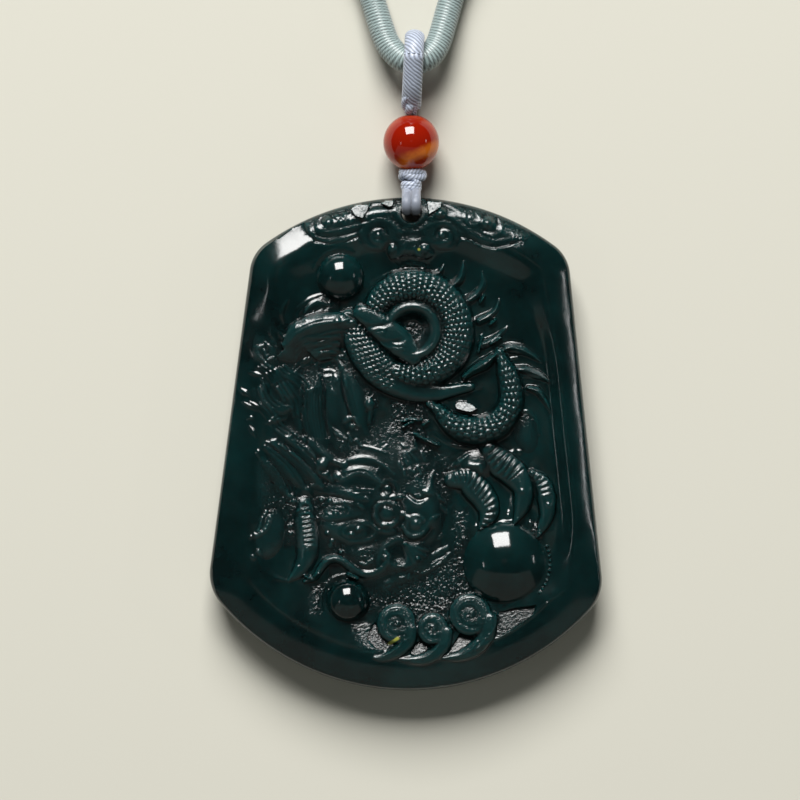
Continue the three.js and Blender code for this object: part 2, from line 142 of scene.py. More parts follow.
def mesh_from(name, vertices, faces):
    """A smooth shaded mesh from points in millimetres and faces."""
    mesh = bpy.data.meshes.new(name)
    mesh.from_pydata((np.asarray(vertices) * MM).tolist(), [], faces)
    mesh.polygons.foreach_set("use_smooth", [True] * len(mesh.polygons))
    mesh.update()
    return mesh


def placed(name, data):
    """A new object in the scene."""
    thing = bpy.data.objects.new(name, data)
    bpy.context.scene.collection.objects.link(thing)
    return thing


def piece_from(name, mesh, material, slot, *nodes):
    """A finished piece of the pendant that stands for CAD nodes."""
    piece = placed(name, mesh)
    mesh.materials.clear()
    mesh.materials.append(material)
    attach(piece, "root")
    if nodes:
        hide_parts(*nodes)
    return piece


def smooth_path(points, steps=16):
    """A Catmull-Rom curve through points, as many small steps."""
    points = np.asarray(points, float)
    before = 2 * points[0] - points[1]
    after = 2 * points[-1] - points[-2]
    knots = np.vstack([before, points, after])
    t = (np.arange(steps) / steps)[:, None]
    made = []
    for a, b, c, d in zip(knots, knots[1:], knots[2:], knots[3:]):
        bend = 2 * a - 5 * b + 4 * c - d
        twist = 3 * b - a - 3 * c + d
        made.append(0.5 * (2 * b + (c - a) * t + bend * t**2 + twist * t**3))
    made.append(points[-1:])
    return np.vstack(made)


def length_of(points):
    """How long a path is."""
    return np.linalg.norm(np.diff(points, axis=0), axis=1).sum()


def resample(points, count, axes=3):
    """The path again with that many points, evenly spaced as its first axes measure it."""
    lengths = np.linalg.norm(np.diff(points[:, :axes], axis=0), axis=1)
    along = np.concatenate([[0], np.cumsum(lengths)])
    places = np.linspace(0, along[-1], count)
    return np.stack([np.interp(places, along, column) for column in points.T], axis=1)


def evenly(points, spacing):
    """The path again with points at an even spacing."""
    return resample(points, max(2, int(round(length_of(points) / spacing)) + 1))


def lathe(profile, sides, ring):
    """Points and faces of a turned form from (radius, height); a ring's profile is closed on itself."""
    turn = np.linspace(0, math.tau, sides, endpoint=False)
    radius, height = np.asarray(profile, float).T
    points = np.stack(np.broadcast_arrays(
        radius[:, None] * np.cos(turn), radius[:, None] * np.sin(turn), height[:, None]), axis=2)
    rows = len(profile)
    faces = []
    for row in range(rows if ring else rows - 1):
        low, high = row * sides, (row + 1) % rows * sides
        for i in range(sides):
            j = (i + 1) % sides
            faces.append((low + i, low + j, high + j, high + i))
    if not ring:
        faces.append(tuple(range(sides))[::-1])
        faces.append(tuple(range((rows - 1) * sides, rows * sides)))
    return points.reshape(-1, 3), faces


def corner_arc(side, end):
    """The rounded corner between a straight side and a round end: centre, side's and end's bearing."""
    radius = CORNER[end]
    lean = math.radians(SIDE_LEAN[side])
    side_bearing = lean if side == "right" else math.pi - lean
    out = SIDE_REACH[side] - radius
    along = math.sqrt((END_RADIUS - radius) ** 2 - out**2)
    if (side == "right") != (end == "top"):
        along = -along
    x = out * math.cos(side_bearing) - along * math.sin(side_bearing)
    y = out * math.sin(side_bearing) + along * math.cos(side_bearing)
    end_bearing = math.atan2(y, x)
    if side == "left" and end == "bottom":
        end_bearing += math.tau
    return (x, y), side_bearing, end_bearing


def inset_of(x, y):
    """How far each point lies inside the plaque's outline."""
    inset = END_RADIUS - np.hypot(x, y)
    for side in SIDE_REACH:
        bearing = corner_arc(side, "top")[1]
        inset = np.minimum(inset, SIDE_REACH[side] - x * math.cos(bearing) - y * math.sin(bearing))
    for side in SIDE_REACH:
        for end, radius in CORNER.items():
            centre, side_bearing, end_bearing = corner_arc(side, end)
            middle = (side_bearing + end_bearing) / 2
            half = abs(end_bearing - side_bearing) / 2
            turn = np.arctan2(y - centre[1], x - centre[0]) - middle
            turn = (turn + math.pi) % math.tau - math.pi
            round_corner = radius - np.hypot(x - centre[0], y - centre[1])
            inset = np.where(np.abs(turn) < half, round_corner, inset)
    return inset


def outline(counts):
    """Points and outward normals round the plaque from its lower left corner, counter-clockwise.

    counts are the steps along the bottom, the right, the top and the left.
    """
    bearings = []
    for side, end in (("left", "bottom"), ("right", "bottom"), ("right", "top"), ("left", "top")):
        centre, side_bearing, end_bearing = corner_arc(side, end)
        order = (end_bearing, side_bearing)
        if (side == "left") == (end == "bottom"):
            order = (side_bearing, end_bearing)
        bearings.append((centre, CORNER[end], order))
    points, normals = [], []
    for i in range(4):
        centre, radius, (first, last) = bearings[i]
        next_centre, next_radius, (next_first, next_last) = bearings[(i + 1) % 4]
        spans = [(centre, radius, (first + last) / 2, last)]
        if i % 2 == 0:
            turn = next_first - last
            spans.append(((0.0, 0.0), END_RADIUS, last, last + (turn + math.pi) % math.tau - math.pi))
        spans.append((next_centre, next_radius, next_first, (next_first + next_last) / 2))
        side_points, side_normals = [], []
        for middle, reach, start, stop in spans:
            angle = np.linspace(start, stop, 200)
            normal = np.stack([np.cos(angle), np.sin(angle)], axis=1)
            side_normals.append(normal)
            side_points.append(np.asarray(middle) + reach * normal)
        both = np.hstack([np.vstack(side_points), np.vstack(side_normals)])
        both = resample(both, counts[i] + 1, 2)
        points.append(both[:-1, :2])
        normals.append(both[:-1, 2:] / np.linalg.norm(both[:-1, 2:], axis=1)[:, None])
    return np.vstack(points), np.vstack(normals)


def fade(value, low, high):
    """0 below low, 1 above high, smooth between."""
    t = np.clip((value - low) / (high - low), 0, 1)
    return t * t * (3 - 2 * t)


def spread_over(values, part):
    """A value along a path, from evenly spaced values on the way."""
    values = np.atleast_1d(np.asarray(values, float))
    if len(values) == 1:
        return np.full_like(part, values[0])
    return np.interp(part, np.linspace(0, 1, len(values)), values)


def round_path(centre, radius, degrees):
    """Points about a centre at bearings in degrees."""
    angle = np.radians(degrees)
    return np.stack([centre[0] + radius * np.cos(angle), centre[1] + radius * np.sin(angle)], axis=1)


def spiral(centre, first_radius, last_radius, bearing, turns, steps=24):
    """Points on a spiral from a bearing in degrees."""
    t = np.linspace(0, 1, steps)
    return round_path(centre, first_radius + (last_radius - first_radius) * t, bearing + 360 * turns * t)


def arc(centre, radius, first, last, steps=16):
    """Points on an arc between two bearings in degrees."""
    return round_path(centre, radius, np.linspace(first, last, steps))


def top_form(bend, fall):
    """A form's height over the parts q of its half width: 1 at its middle, 0 at its edge."""
    return lambda q: np.clip(1 - q**bend, 0, 1) ** fall


round_top = top_form(2, 0.5)
soft_top = top_form(2, 1)
flat_top = top_form(4, 0.6)
curl_top = top_form(10, 0.5)
finger_top = top_form(3, 0.8)
coil_top = top_form(2.6, 0.7)
tail_top = top_form(2.4, 0.7)
keel_top = top_form(1, 0.85)
haunch_top = top_form(1, 0.8)


def plateau_top(q):
    """Flat over its inner half, then an easy fall."""
    return 1 - fade(q, 0.5, 1.0)


def squeezed(path, level):
    """A path pressed to half its height about a level."""
    return [(x, level + 0.5 * (y - level)) for x, y in path]


def first_part(found, longest):
    """What a ridge raised on the first stretch of its path, so long."""
    kept = found[2] < longest
    return tuple(values[kept] for values in found)


def lumps(x, y, cell, seed):
    """Smooth random heights between -1 and 1 with lumps of a given size."""
    table = np.random.default_rng(seed).uniform(-1, 1, (256, 256))
    column, row = np.floor(x / cell).astype(int), np.floor(y / cell).astype(int)
    u, v = x / cell - column, y / cell - row
    u, v = u * u * (3 - 2 * u), v * v * (3 - 2 * v)
    near, far = column % 256, (column + 1) % 256
    low, high = row % 256, (row + 1) % 256
    below = table[low, near] * (1 - u) + table[low, far] * u
    above = table[high, near] * (1 - u) + table[high, far] * u
    return below * (1 - v) + above * v


class Carving:
    """The plaque's face while it is carved: places, heights, the floor under the forms, and polish."""

    def __init__(self, x, y):
        self.x, self.y = x, y
        self.floor = floor_height(x, y)
        self.z = rim_height(x, y)
        self.polish = np.full_like(x, 0.9)
        self.crisp = np.zeros_like(x)
        self.tallest_line = 0.2

    def blurred(self, passes):
        """The heights, evened out over the neighbouring places."""
        smooth = self.z.reshape(STEPS_UP + 1, STEPS_ACROSS + 1).copy()
        for _ in range(passes):
            smooth[1:-1] = (smooth[:-2] + 2 * smooth[1:-1] + smooth[2:]) / 4
            smooth[:, 1:-1] = (smooth[:, :-2] + 2 * smooth[:, 1:-1] + smooth[:, 2:]) / 4
        return smooth.ravel()

    def soften(self, passes):
        """Rounds the forms over as polishing does, except where scales and ribs are cut."""
        self.z += (1 - self.crisp) * (self.blurred(passes) - self.z)

    def raise_to(self, index, inside, height, polish=0.76):
        """Lets a form stand out where it is higher than what is there, and tells where it does."""
        won = inside & (height > self.z[index])
        self.z[index[won]] = height[won]
        self.polish[index[won]] = polish
        return won

    def near(self, line, reach):
        """Index of the points in the box round a line, widened by a reach."""
        low, high = line.min(0) - reach, line.max(0) + reach
        inside = (self.x > low[0]) & (self.x < high[0]) & (self.y > low[1]) & (self.y < high[1])
        return np.nonzero(inside)[0]

    def around(self, centre, radius):
        """Index of the points about a centre, and how far each is from it."""
        index = self.near(np.array([centre]), radius)
        return index, np.hypot(self.x[index] - centre[0], self.y[index] - centre[1])

    def from_edge(self, outline, reach):
        """How far every point is from an outline, at most the reach."""
        index, across, _, _ = self.trace(np.vstack([outline, outline[:1]]), reach, smooth=False)
        gap = np.full(len(self.x), reach)
        gap[index] = np.abs(across)
        return gap

    def trace(self, path, reach, smooth=True):
        """Points near a path: their index, distance across (left positive), place along, and the length."""
        line = smooth_path(path) if smooth and len(path) > 2 else np.asarray(path, float)
        index = self.near(line, reach)
        x, y = self.x[index], self.y[index]
        best = np.full(len(index), 1e9)
        across, along = np.zeros(len(index)), np.zeros(len(index))
        start = 0.0
        for (ax, ay), (bx, by) in zip(line, line[1:]):
            ux, uy = bx - ax, by - ay
            length = math.hypot(ux, uy)
            if length < 1e-9:
                continue
            ux, uy = ux / length, uy / length
            t = np.clip((x - ax) * ux + (y - ay) * uy, 0, length)
            dx, dy = x - ax - ux * t, y - ay - uy * t
            gap = dx * dx + dy * dy
            closer = gap < best
            best = np.where(closer, gap, best)
            side = np.where(ux * dy - uy * dx >= 0, 1.0, -1.0)
            across = np.where(closer, side * np.sqrt(gap), across)
            along = np.where(closer, start + t, along)
            start += length
        near = best < reach * reach
        return index[near], across[near], along[near], start

    def ridge(self, path, half, rise, top=soft_top, right=None):
        """A raised form along a path, as wide and high as half and rise say on the way.

        right is its half width on the right of the path where that differs.
        """
        right = half if right is None else right
        index, across, along, length = self.trace(path, max(np.max(half), np.max(right)))
        part = along / length
        wide = np.where(across >= 0, spread_over(half, part), spread_over(right, part))
        q = np.abs(across) / np.maximum(wide, 1e-6)
        won = self.raise_to(index, q < 1, self.floor[index] + spread_over(rise, part) * top(q))
        return index[won], across[won], along[won], q[won]

    def line(self, path, half, rise):
        """A thin raised line that follows the form under it; a negative rise cuts a groove."""
        index, across, along, length = self.trace(path, np.max(half))
        part = along / length
        wide = np.maximum(spread_over(half, part), 1e-6)
        limit = np.minimum(STEEPEST * wide, self.tallest_line)
        gentle = np.clip(spread_over(rise, part), -limit, limit)
        self.z[index] += gentle * np.clip(1 - (across / wide) ** 2, 0, 1) ** 1.5

    def lines(self, paths, half, rise):
        """Several lines of the same width and rise."""
        for path in paths:
            self.line(path, half, rise)

    def strokes(self, strokes):
        """Several lines, each with its own width and rise."""
        for path, half, rise in strokes:
            self.line(path, half, rise)

    def fin(self, path, half, rise):
        """A sharp fin with a line along its crest."""
        self.ridge(path, half, rise, top=keel_top)
        self.line(path, tuple(0.4 * wide for wide in half), 0.1)

    def boss(self, centre, size, rise, turn=0.0, top=soft_top):
        """A raised round or oval form."""
        size = np.broadcast_to(np.asarray(size, float), (2,))
        index = self.near(np.array([centre]), size.max())
        dx, dy = self.x[index] - centre[0], self.y[index] - centre[1]
        c, s = math.cos(math.radians(turn)), math.sin(math.radians(turn))
        q = np.hypot((dx * c + dy * s) / size[0], (dy * c - dx * s) / size[1])
        self.raise_to(index, q < 1, self.floor[index] + rise * top(q))

    def ball(self, centre, radius, rise, base):
        """A pearl: part of a sphere of which a disc of that radius stands out by rise."""
        index, gap = self.around(centre, radius)
        sphere = (radius**2 + rise**2) / (2 * rise)
        height = base + rise - sphere + np.sqrt(np.clip(sphere**2 - gap**2, 0, None))
        self.raise_to(index, gap < radius, height, 1.0)

    def plate(self, outline, height, shoulder):
        """A flat raised part inside an outline, with rounded shoulders."""
        inside = self.within(outline)
        depth = self.from_edge(outline, shoulder)[inside]
        ground = self.floor[inside]
        rise = (height - ground) * np.sqrt(fade(depth, -0.2 * shoulder, shoulder))
        edge = EDGE_HEIGHT + 0.8 * (inset_of(self.x[inside], self.y[inside]) - EDGE_INSET)
        self.z[inside] = soft_min(ground + rise, edge, 0.3)
        self.polish[inside] = 0.8

    def facet(self, outline, slope, bearing, height):
        """A flat brushed spot that leans toward a bearing, its middle at a height."""
        inside = self.within(outline)
        middle = np.mean(outline, axis=0)
        turn = math.radians(bearing)
        dx, dy = self.x[inside] - middle[0], self.y[inside] - middle[1]
        self.z[inside] = height - slope * (dx * math.cos(turn) + dy * math.sin(turn))
        self.z[inside] += 0.014 * lumps(dx, dy, 0.18, 9)
        self.polish[inside] = 0.736
        self.crisp[inside] = 1.0

    def within(self, outline):
        """Index of the points inside an outline."""
        outline = np.asarray(outline, float)
        index = self.near(outline, 0.0)
        x, y = self.x[index], self.y[index]
        inside = np.zeros(len(index), bool)
        for (ax, ay), (bx, by) in zip(outline, np.roll(outline, -1, axis=0)):
            crosses = (ay > y) != (by > y)
            slope = (bx - ax) * (y - ay) / (by - ay if by != ay else 1e-9) + ax
            inside ^= crosses & (x < slope)
        return index[inside]

    def spot(self, centre, radius, rise):
        """A small round bead that follows the form under it."""
        index, gap = self.around(centre, radius)
        self.z[index] += rise * soft_top(gap / radius)

    def spots(self, centres, radius, rise):
        """Several beads of the same size."""
        for centre in centres:
            self.spot(centre, radius, rise)

    def scales(self, found, long, wide, depth, edge, slant=0.0):
        """Rows of small domed scales on a body that ridge has raised."""
        index, across, along, q = found
        row = (along + slant * across) / long
        shift = 0.5 * (np.floor(row) % 2)
        place = across / wide + shift
        u, v = row % 1 - 0.5, place % 1 - 0.5
        dome = np.sqrt(np.clip(1 - (u * u + v * v) / 0.3, 0, 1))
        self.z[index] += depth * (dome - 0.6) * fade(edge - q, 0.0, 0.15)
        self.crisp[index] = fade(edge - q, 0.0, 0.15)

    def ribs(self, found, pitch, depth, slant=0.0, low=-1.0, high=1.0):
        """Ribs across a raised form, on the part of its width between low and high."""
        index, across, along, q = found
        wave = np.cos(math.tau * (along + slant * across) / pitch)
        side = q * np.sign(across)
        weight = fade(side, low - 0.1, low + 0.15) * (1 - fade(side, high - 0.15, high + 0.1))
        self.z[index] += depth * wave * weight
        self.crisp[index] = 0.7 * weight

    def stipple(self, outline, depth, seed, highest=0.85, broken=0.0):
        """A rough punched ground inside an outline, where the stone rises less than a height.

        broken is how much of it is left out in patches.
        """
        inside = self.within(outline)
        feather = 1.3
        weight = fade(self.from_edge(outline, feather)[inside], 0.0, feather)
        low = 1 - fade(self.z[inside] - self.floor[inside], highest - 0.4, highest)
        patchy = fade(lumps(self.x[inside], self.y[inside], 0.9, seed + 2), -0.7, 0.1)
        self.roughen(inside, depth, seed, weight * low * (1 - broken + broken * patchy))

    def roughen(self, index, depth, seed, weight=1.0):
        """Punch marks on the points of an index."""
        x, y = self.x[index], self.y[index]
        marks = 0.4 * lumps(x, y, 0.24, seed) + 0.75 * lumps(x, y, 0.13, seed + 1)
        self.z[index] += weight * depth * marks
        self.polish[index] += weight * (0.68 - self.polish[index])
        self.crisp[index] = np.maximum(self.crisp[index], weight)


def soft_min(first, second, blend):
    """The lower of two heights, with their meeting rounded over."""
    near = np.clip(0.5 + 0.5 * (second - first) / blend, 0, 1)
    return second + (first - second) * near - blend * near * (1 - near)


def rim_sides(x, y):
    """How much a place belongs to the plaque's left or bottom and to its top, and its rim's width."""
    left = fade(-x, 8, 17) * (1 - fade(y, 9, 19))
    low = fade(-y, 7, 18)
    width = 2.7 + 0.75 * left * (1 - low) + 0.5 * low
    return np.maximum(left, low), fade(y, 8, 19), width


def floor_height(x, y):
    """The sunk field: flat in the middle and on the right, dished up toward the other sides."""
    dished, top, width = rim_sides(x, y)
    return FIELD + (0.5 * dished + 0.7 * top) * (1 - fade(inset_of(x, y), width + 0.5, width + 6.8))


def bevel_height(x, y):
    """The rim's outer slope, a little steeper toward the edge, as if it went on inward."""
    dished, _, width = rim_sides(x, y)
    part = (inset_of(x, y) - EDGE_INSET) / (width - EDGE_INSET)
    rise = CREST - RIM_DIP * dished + RIM_OVER - EDGE_HEIGHT
    return EDGE_HEIGHT + rise * part * (1.3 - 0.3 * np.clip(part, 0, 1.5))


def rim_height(x, y):
    """The plaque's plain front: a rim that slopes up from its edge and the field inside it."""
    dished, top, width = rim_sides(x, y)
    crest = CREST + RIM_OVER - RIM_DIP * dished
    fall = 1.0 + 2.0 * np.maximum(dished, top)
    wall = crest - (crest - floor_height(x, y)) * fade(inset_of(x, y), width - 0.6, width + fall)
    front = soft_min(bevel_height(x, y), wall, 0.35)
    along = (x - LEANING[0]) * 0.85 + (y - LEANING[1]) * 0.53
    front -= 0.11 * along * np.exp(-(along / 4.6) ** 2) * fade(-x, 4, 8) * fade(y, 10, 16)
    front += (0.022 + 0.03 * top) * lumps(x, y, 2.4, 6)
    return front + (0.007 + 0.012 * top) * lumps(x, y, 1.1, 7) + 0.003 * lumps(x, y, 0.5, 8)


def carve_top_scrolls(stone):
    """The scrolls, leaves and small mask round the hole."""
    stone.tallest_line = 0.06
    # plate that the scrolls are cut in
    stone.plate([(-11.18, 23.75), (-10.75, 22.58), (-10, 21.56), (-8.4, 21.24), (-6.69, 21.45),
        (-5.4, 21.93), (-4.87, 21.19), (-3.91, 20.65), (-2.84, 20.65), (-2.19, 21.08), (-2.3, 20.33),
        (-1.87, 19.69), (-1.12, 19.74), (-0.48, 20.12), (0.37, 20.12), (1.12, 19.79), (1.98, 19.69),
        (2.73, 20.12), (2.73, 20.86), (3.48, 20.65), (4.44, 20.7), (5.19, 21.19), (5.62, 21.93),
        (6.58, 21.72), (7.86, 21.08), (9.26, 20.81), (10.65, 21.13), (12.36, 21.72), (13, 22.26),
        (11.61, 23.97), (9.26, 25.47), (6.37, 26.32), (3.37, 26.64), (0.27, 26.75), (-3.05, 26.64),
        (-6.26, 26.32), (-8.93, 25.25)], 5.45, 0.8)
    # plain spots left between the scrolls
    for spot in [
        [(-6.15, 25.04), (-5.51, 25.57), (-4.12, 25.47), (-4.44, 24.82), (-4.87, 24.07), (-5.62, 24.29)],
        [(-2.94, 25.68), (-2.19, 26.11), (-1.55, 26.05), (-1.66, 25.47), (-1.98, 25.25)],
        [(1.98, 25.89), (3.48, 25.79), (3.48, 25.2), (2.73, 24.82), (2.19, 24.5)],
    ]:
        stone.facet(spot, 0.44, 97, 5.5)
    # left outer scroll
    stone.strokes([
        ([(-7.97, 24.29), (-8.72, 24.56), (-9.47, 24.24), (-9.74, 23.65), (-9.58, 23), (-8.93, 22.63),
            (-7.86, 22.68), (-6.69, 22.95), (-5.4, 23.27), (-4.55, 23.54)],
            (0.16, 0.26, 0.28, 0.28, 0.26, 0.2), 0.24),
        ([(-10.65, 23.54), (-10.43, 22.68), (-9.79, 21.93), (-8.61, 21.61), (-7.12, 21.77), (-5.62, 22.26)],
            0.26, 0.18),
        ([(-10.16, 23.43), (-10, 22.68), (-9.47, 22.2), (-8.51, 22.1), (-6.9, 22.31), (-5.4, 22.74)],
            0.22, -0.1),
    ])
    stone.spot((-8.61, 23.81), 0.6, 0.3)
    stone.spots([(-7.65, 24.24), (-6.79, 24.45), (-7.22, 23.75), (-6.15, 23.81)], 0.34, 0.12)
    # leaf and inner spiral on the left
    stone.strokes([
        ([(-4.55, 24.29), (-3.69, 24.66), (-2.73, 24.77)], (0.3, 0.7, 0.5), (0.15, 0.35, 0.25)),
        ([(-4.65, 24.72), (-4.12, 25.2), (-3.26, 25.41), (-2.3, 25.25)], 0.3, -0.18),
        ([(-5.08, 24.02), (-4.23, 24.07)], 0.26, 0.15),
        ([(-4.98, 22.47), (-4.65, 23.17), (-4.01, 23.65), (-3.16, 23.86), (-2.19, 23.7), (-1.44, 23.27),
            (-1.02, 22.68)], 0.4, 0.3),
        (arc((-3.26, 22.15), 1.0, 20, 270), 0.3, -0.2),
        (arc((-3.26, 22.15), 0.6, 80, 290), 0.26, 0.15),
    ])
    stone.spot((-3.21, 22.26), 0.32, 0.2)
    # mask under the hole
    stone.line([(-1.02, 22.15), (0.16, 22.31), (1.34, 22.15)], 0.5, -0.06)
    stone.line([(-0.48, 21.29), (0.27, 21.61), (0.91, 21.56)], 0.3, 0.075)
    for centre in ((-1.77, 20.81), (1.71, 20.76)):
        stone.line(arc(centre, 0.72, 0, 360), 0.3, -0.2)
        stone.spot(centre, 0.55, 0.28)
    stone.lines([
        [(-1.12, 20.01), (-0.59, 20.38), (-0.54, 20.97)], [(1.23, 20.01), (0.8, 20.44), (0.75, 20.97)],
    ], 0.26, 0.15)
    # collar round the hole
    stone.line([(-1.87, 25.89), (-1.87, 24.82), (-1.55, 23.97), (-0.8, 23.22), (0.27, 22.95), (1.23, 23.17),
        (1.98, 23.81)], 0.45, -0.07)
    # inner spiral and leaf on the right
    stone.strokes([
        ([(1.34, 22.9), (2.09, 23.33), (3.05, 23.59), (4.12, 23.43), (4.76, 22.84), (5.19, 22.04)],
            (0.3, 0.4, 0.42, 0.4, 0.3), 0.3),
        (arc((3.91, 22.1), 1.0, -70, 170), 0.3, -0.2),
        (arc((3.85, 22.1), 0.6, -120, 140), 0.26, 0.15),
    ])
    stone.spot((3.53, 22.26), 0.32, 0.2)
    stone.line([(1.66, 23.33), (2.41, 24.02), (3.05, 24.5)], (0.15, 0.36, 0.45), 0.3)
    stone.spot((3.48, 24.66), 0.6, 0.3)
    stone.line([(4.12, 25.68), (4.87, 25.31), (5.62, 24.82)], 0.34, 0.18)
    # long sweep and outer scrolls on the right
    stone.strokes([
        ([(4.12, 24.4), (5.08, 23.86), (6.05, 23), (7.22, 22.2), (8.51, 21.72), (9.79, 21.61),
            (10.75, 21.88)], (0.2, 0.34, 0.36, 0.36, 0.34, 0.2), 0.3),
        ([(6.15, 24.82), (6.05, 24.07), (6.37, 23.49), (7.01, 23.27), (7.54, 23.54), (7.7, 24.13),
            (7.33, 24.61), (6.79, 24.56), (6.63, 24.18)], 0.28, 0.2),
        ([(8.19, 22.47), (8.93, 22.2), (9.68, 22.47), (10, 23.11), (9.79, 23.81), (9.26, 24.29)],
            0.25, 0.24),
        (arc((8.56, 23.65), 1.0, -170, 80), 0.28, -0.16),
    ])
    stone.spot((8.51, 23.7), 0.68, 0.34)
    stone.line([(9.04, 21.08), (10.11, 21.24), (11.07, 21.67)], 0.34, 0.2)
    stone.stipple([(10.22, 23.54), (13, 22.9), (12.79, 20.54), (10.43, 20.54)], 0.035, 3)


def carve_pearls(stone):
    """The three pearls, with the lines and beads beside them."""
    for centre, radius, rise, base in [
        (SMALL_PEARL, 2.65, 2.0, 4.55), (BIG_PEARL, 4.4, 1.95, 4.75), (LOW_PEARL, 2.4, 1.9, 4.5),
    ]:
        stone.ball(centre, radius, rise, base)
    stone.tallest_line = 0.2
    stone.strokes([
        (arc(LOW_PEARL, 2.84, 85, 200), (0.12, 0.3, 0.3, 0.12), 0.12),
        (arc(LOW_PEARL, 2.55, 95, 190), 0.12, 0.08),
        (arc(SMALL_PEARL, 2.95, 60, 165), 0.14, 0.08),
    ])
    # beads beside the big pearl
    for i in range(11):
        angle = math.radians(22 - 6.2 * i)
        bead = (BIG_PEARL[0] + 4.85 * math.cos(angle), BIG_PEARL[1] + 4.85 * math.sin(angle))
        stone.boss(bead, 0.2, 0.3)


def carve_coil(stone):
    """The scaled coil of the body, its hollow hub and the fins on its outer edge."""
    stone.tallest_line = 0.2
    centre = COIL_MIDDLE
    # smooth inner flank down to the rough hub
    stone.boss(centre, 3.4, 1.45, top=curl_top)
    body = stone.ridge(arc(centre, 4.72, 152, -112, 48), (1.3, 1.95, 2.0, 2.0, 2.0, 1.75, 1.2),
        (1.2, 1.65, 1.75, 1.75, 1.7, 1.5, 1.2), top=coil_top)
    stone.scales(body, 0.56, 0.56, 0.17, edge=0.9)
    hub, gap = stone.around(centre, 2.6)
    hollow = FIELD - 0.1 + 1.5 * fade(gap, 0.9, 2.65)
    stone.z[hub] = np.where(gap < 2.65, np.minimum(stone.z[hub], hollow), stone.z[hub])
    stone.roughen(hub[gap < 1.1], 0.07, 5)
    stone.strokes([
        (arc(centre, 2.75, 80, 0, 24), 0.13, 0.08),
        (arc(centre, 3.02, 75, -10, 24), 0.12, 0.07),
        (arc(centre, 6.55, -8, -88, 24), 0.14, 0.2),
        (arc(centre, 6.2, -12, -95, 24), 0.12, 0.14),
        ([(0.27, 8.45), (1.02, 7.97), (1.87, 7.92), (2.62, 8.35)], 0.26, 0.26),
        ([(-0.48, 19.05), (0.16, 19.21), (0.8, 19.1), (1.66, 18.94)], 0.2, 0.25),
        ([(-4.01, 17.12), (-3.05, 17.76), (-1.98, 18.24), (-1.12, 18.51)], 0.2, 0.25),
    ])
    # fins on the outer edge
    for path, half in [
        ([(2.62, 17.98), (3.37, 18.4), (3.75, 19.15)], (0.5, 0.42, 0.1)),
        ([(4.76, 16.91), (5.51, 17.66), (5.78, 18.62), (5.88, 19.47)], (0.6, 0.55, 0.35, 0.1)),
        ([(6.37, 15.3), (7.33, 16.05), (7.97, 17.12), (7.81, 18.3)], (0.65, 0.6, 0.4, 0.1)),
        ([(7.54, 13.16), (8.61, 13.7), (9.36, 14.45), (9.68, 15.41)], (0.6, 0.55, 0.35, 0.1)),
        ([(7.86, 10.59), (8.83, 11.02), (9.68, 11.66), (10.54, 12.52)], (0.6, 0.55, 0.35, 0.1)),
    ]:
        stone.fin(path, half, (0.6, 0.46, 0.36, 0.15))
    for path in [
        [(7.65, 15.09), (8.08, 15.73)], [(8.72, 12.73), (9.26, 13.27)], [(8.83, 10.7), (9.79, 11.34)],
        [(7.44, 9.84), (7.76, 10.81), (7.86, 11.45)],
    ]:
        stone.ridge(path, 0.2, 0.8)
    for seed, notch in enumerate([(2.84, 18.62), (4.98, 17.98), (7.22, 16.48), (8.61, 14.23),
            (9.15, 11.98)]):
        stone.stipple(arc(notch, 0.65, 0, 330, 12), 0.06, 50 + seed)


def carve_body_strip(stone):
    """The body below the coil, the foreleg across it and the leaf beside it."""
    strip = stone.ridge([(-6.37, 13.48), (-5.83, 11.77), (-4.87, 10.16), (-3.48, 8.45), (-1.77, 7.06),
        (0.37, 5.99), (2.94, 5.46), (5.51, 5.88), (6.58, 6.1)],
        (1.0, 1.5, 1.9, 2.05, 1.85, 1.5, 1.1, 0.7, 0.5), (1.0, 1.15, 1.25, 1.2, 1.05, 0.95, 0.8, 0.6, 0.5),
        top=flat_top)
    stone.scales(first_part(strip, 8.6), 0.58, 0.46, 0.085, edge=0.97, slant=-0.4)
    # smooth foreleg that crosses the coil
    stone.ridge([(-4.98, 13.91), (-3.48, 12.95), (-1.87, 11.56), (-0.48, 10.27), (0.59, 9.2)],
        (1.1, 1.6, 1.75, 1.65, 1.1), (1.4, 1.5, 1.5, 1.45, 1.3), top=flat_top)
    stone.lines([
        [(-4.76, 12.63), (-3.48, 12.52), (-2.19, 12.84)], [(-3.05, 11.02), (-1.77, 10.81), (-0.7, 11.13)],
    ], 0.4, -0.1)
    stone.strokes([
        ([(-4.55, 14.55), (-3.91, 14.28), (-3.05, 14.18)], 0.18, 0.2),
        ([(-4.76, 12.2), (-4.23, 12.04), (-3.69, 12.2), (-3.16, 12.36), (-2.51, 12.25)], 0.2, 0.24),
        ([(-3.48, 11.66), (-2.94, 11.88), (-2.51, 11.93)], 0.14, 0.14),
        ([(-2.94, 10.81), (-2.51, 10.38), (-1.87, 10.19), (-0.59, 10.11)], 0.2, 0.26),
        ([(-1.87, 10.81), (-1.23, 10.59), (-0.37, 10.51)], 0.16, 0.2),
    ])
    # leaf beside the coil and the hollow under it
    stone.ridge([(5.94, 7.17), (7.01, 7.92), (8.29, 8.67), (9.15, 9.42), (9.9, 10.27)],
        (0.4, 0.6, 0.75, 0.55, 0.12), (0.9, 1.1, 1.25, 1.1, 0.6), top=keel_top)
    stone.strokes([
        ([(6.37, 7.76), (7.22, 7.97), (8.29, 8.24), (9.04, 8.45)], 0.18, 0.24),
        ([(5.72, 6.53), (6.26, 6.15), (6.9, 5.99), (7.86, 5.99)], 0.18, 0.3),
        ([(9.36, 9.74), (9.58, 9.2), (10.33, 8.88)], 0.15, 0.18),
    ])


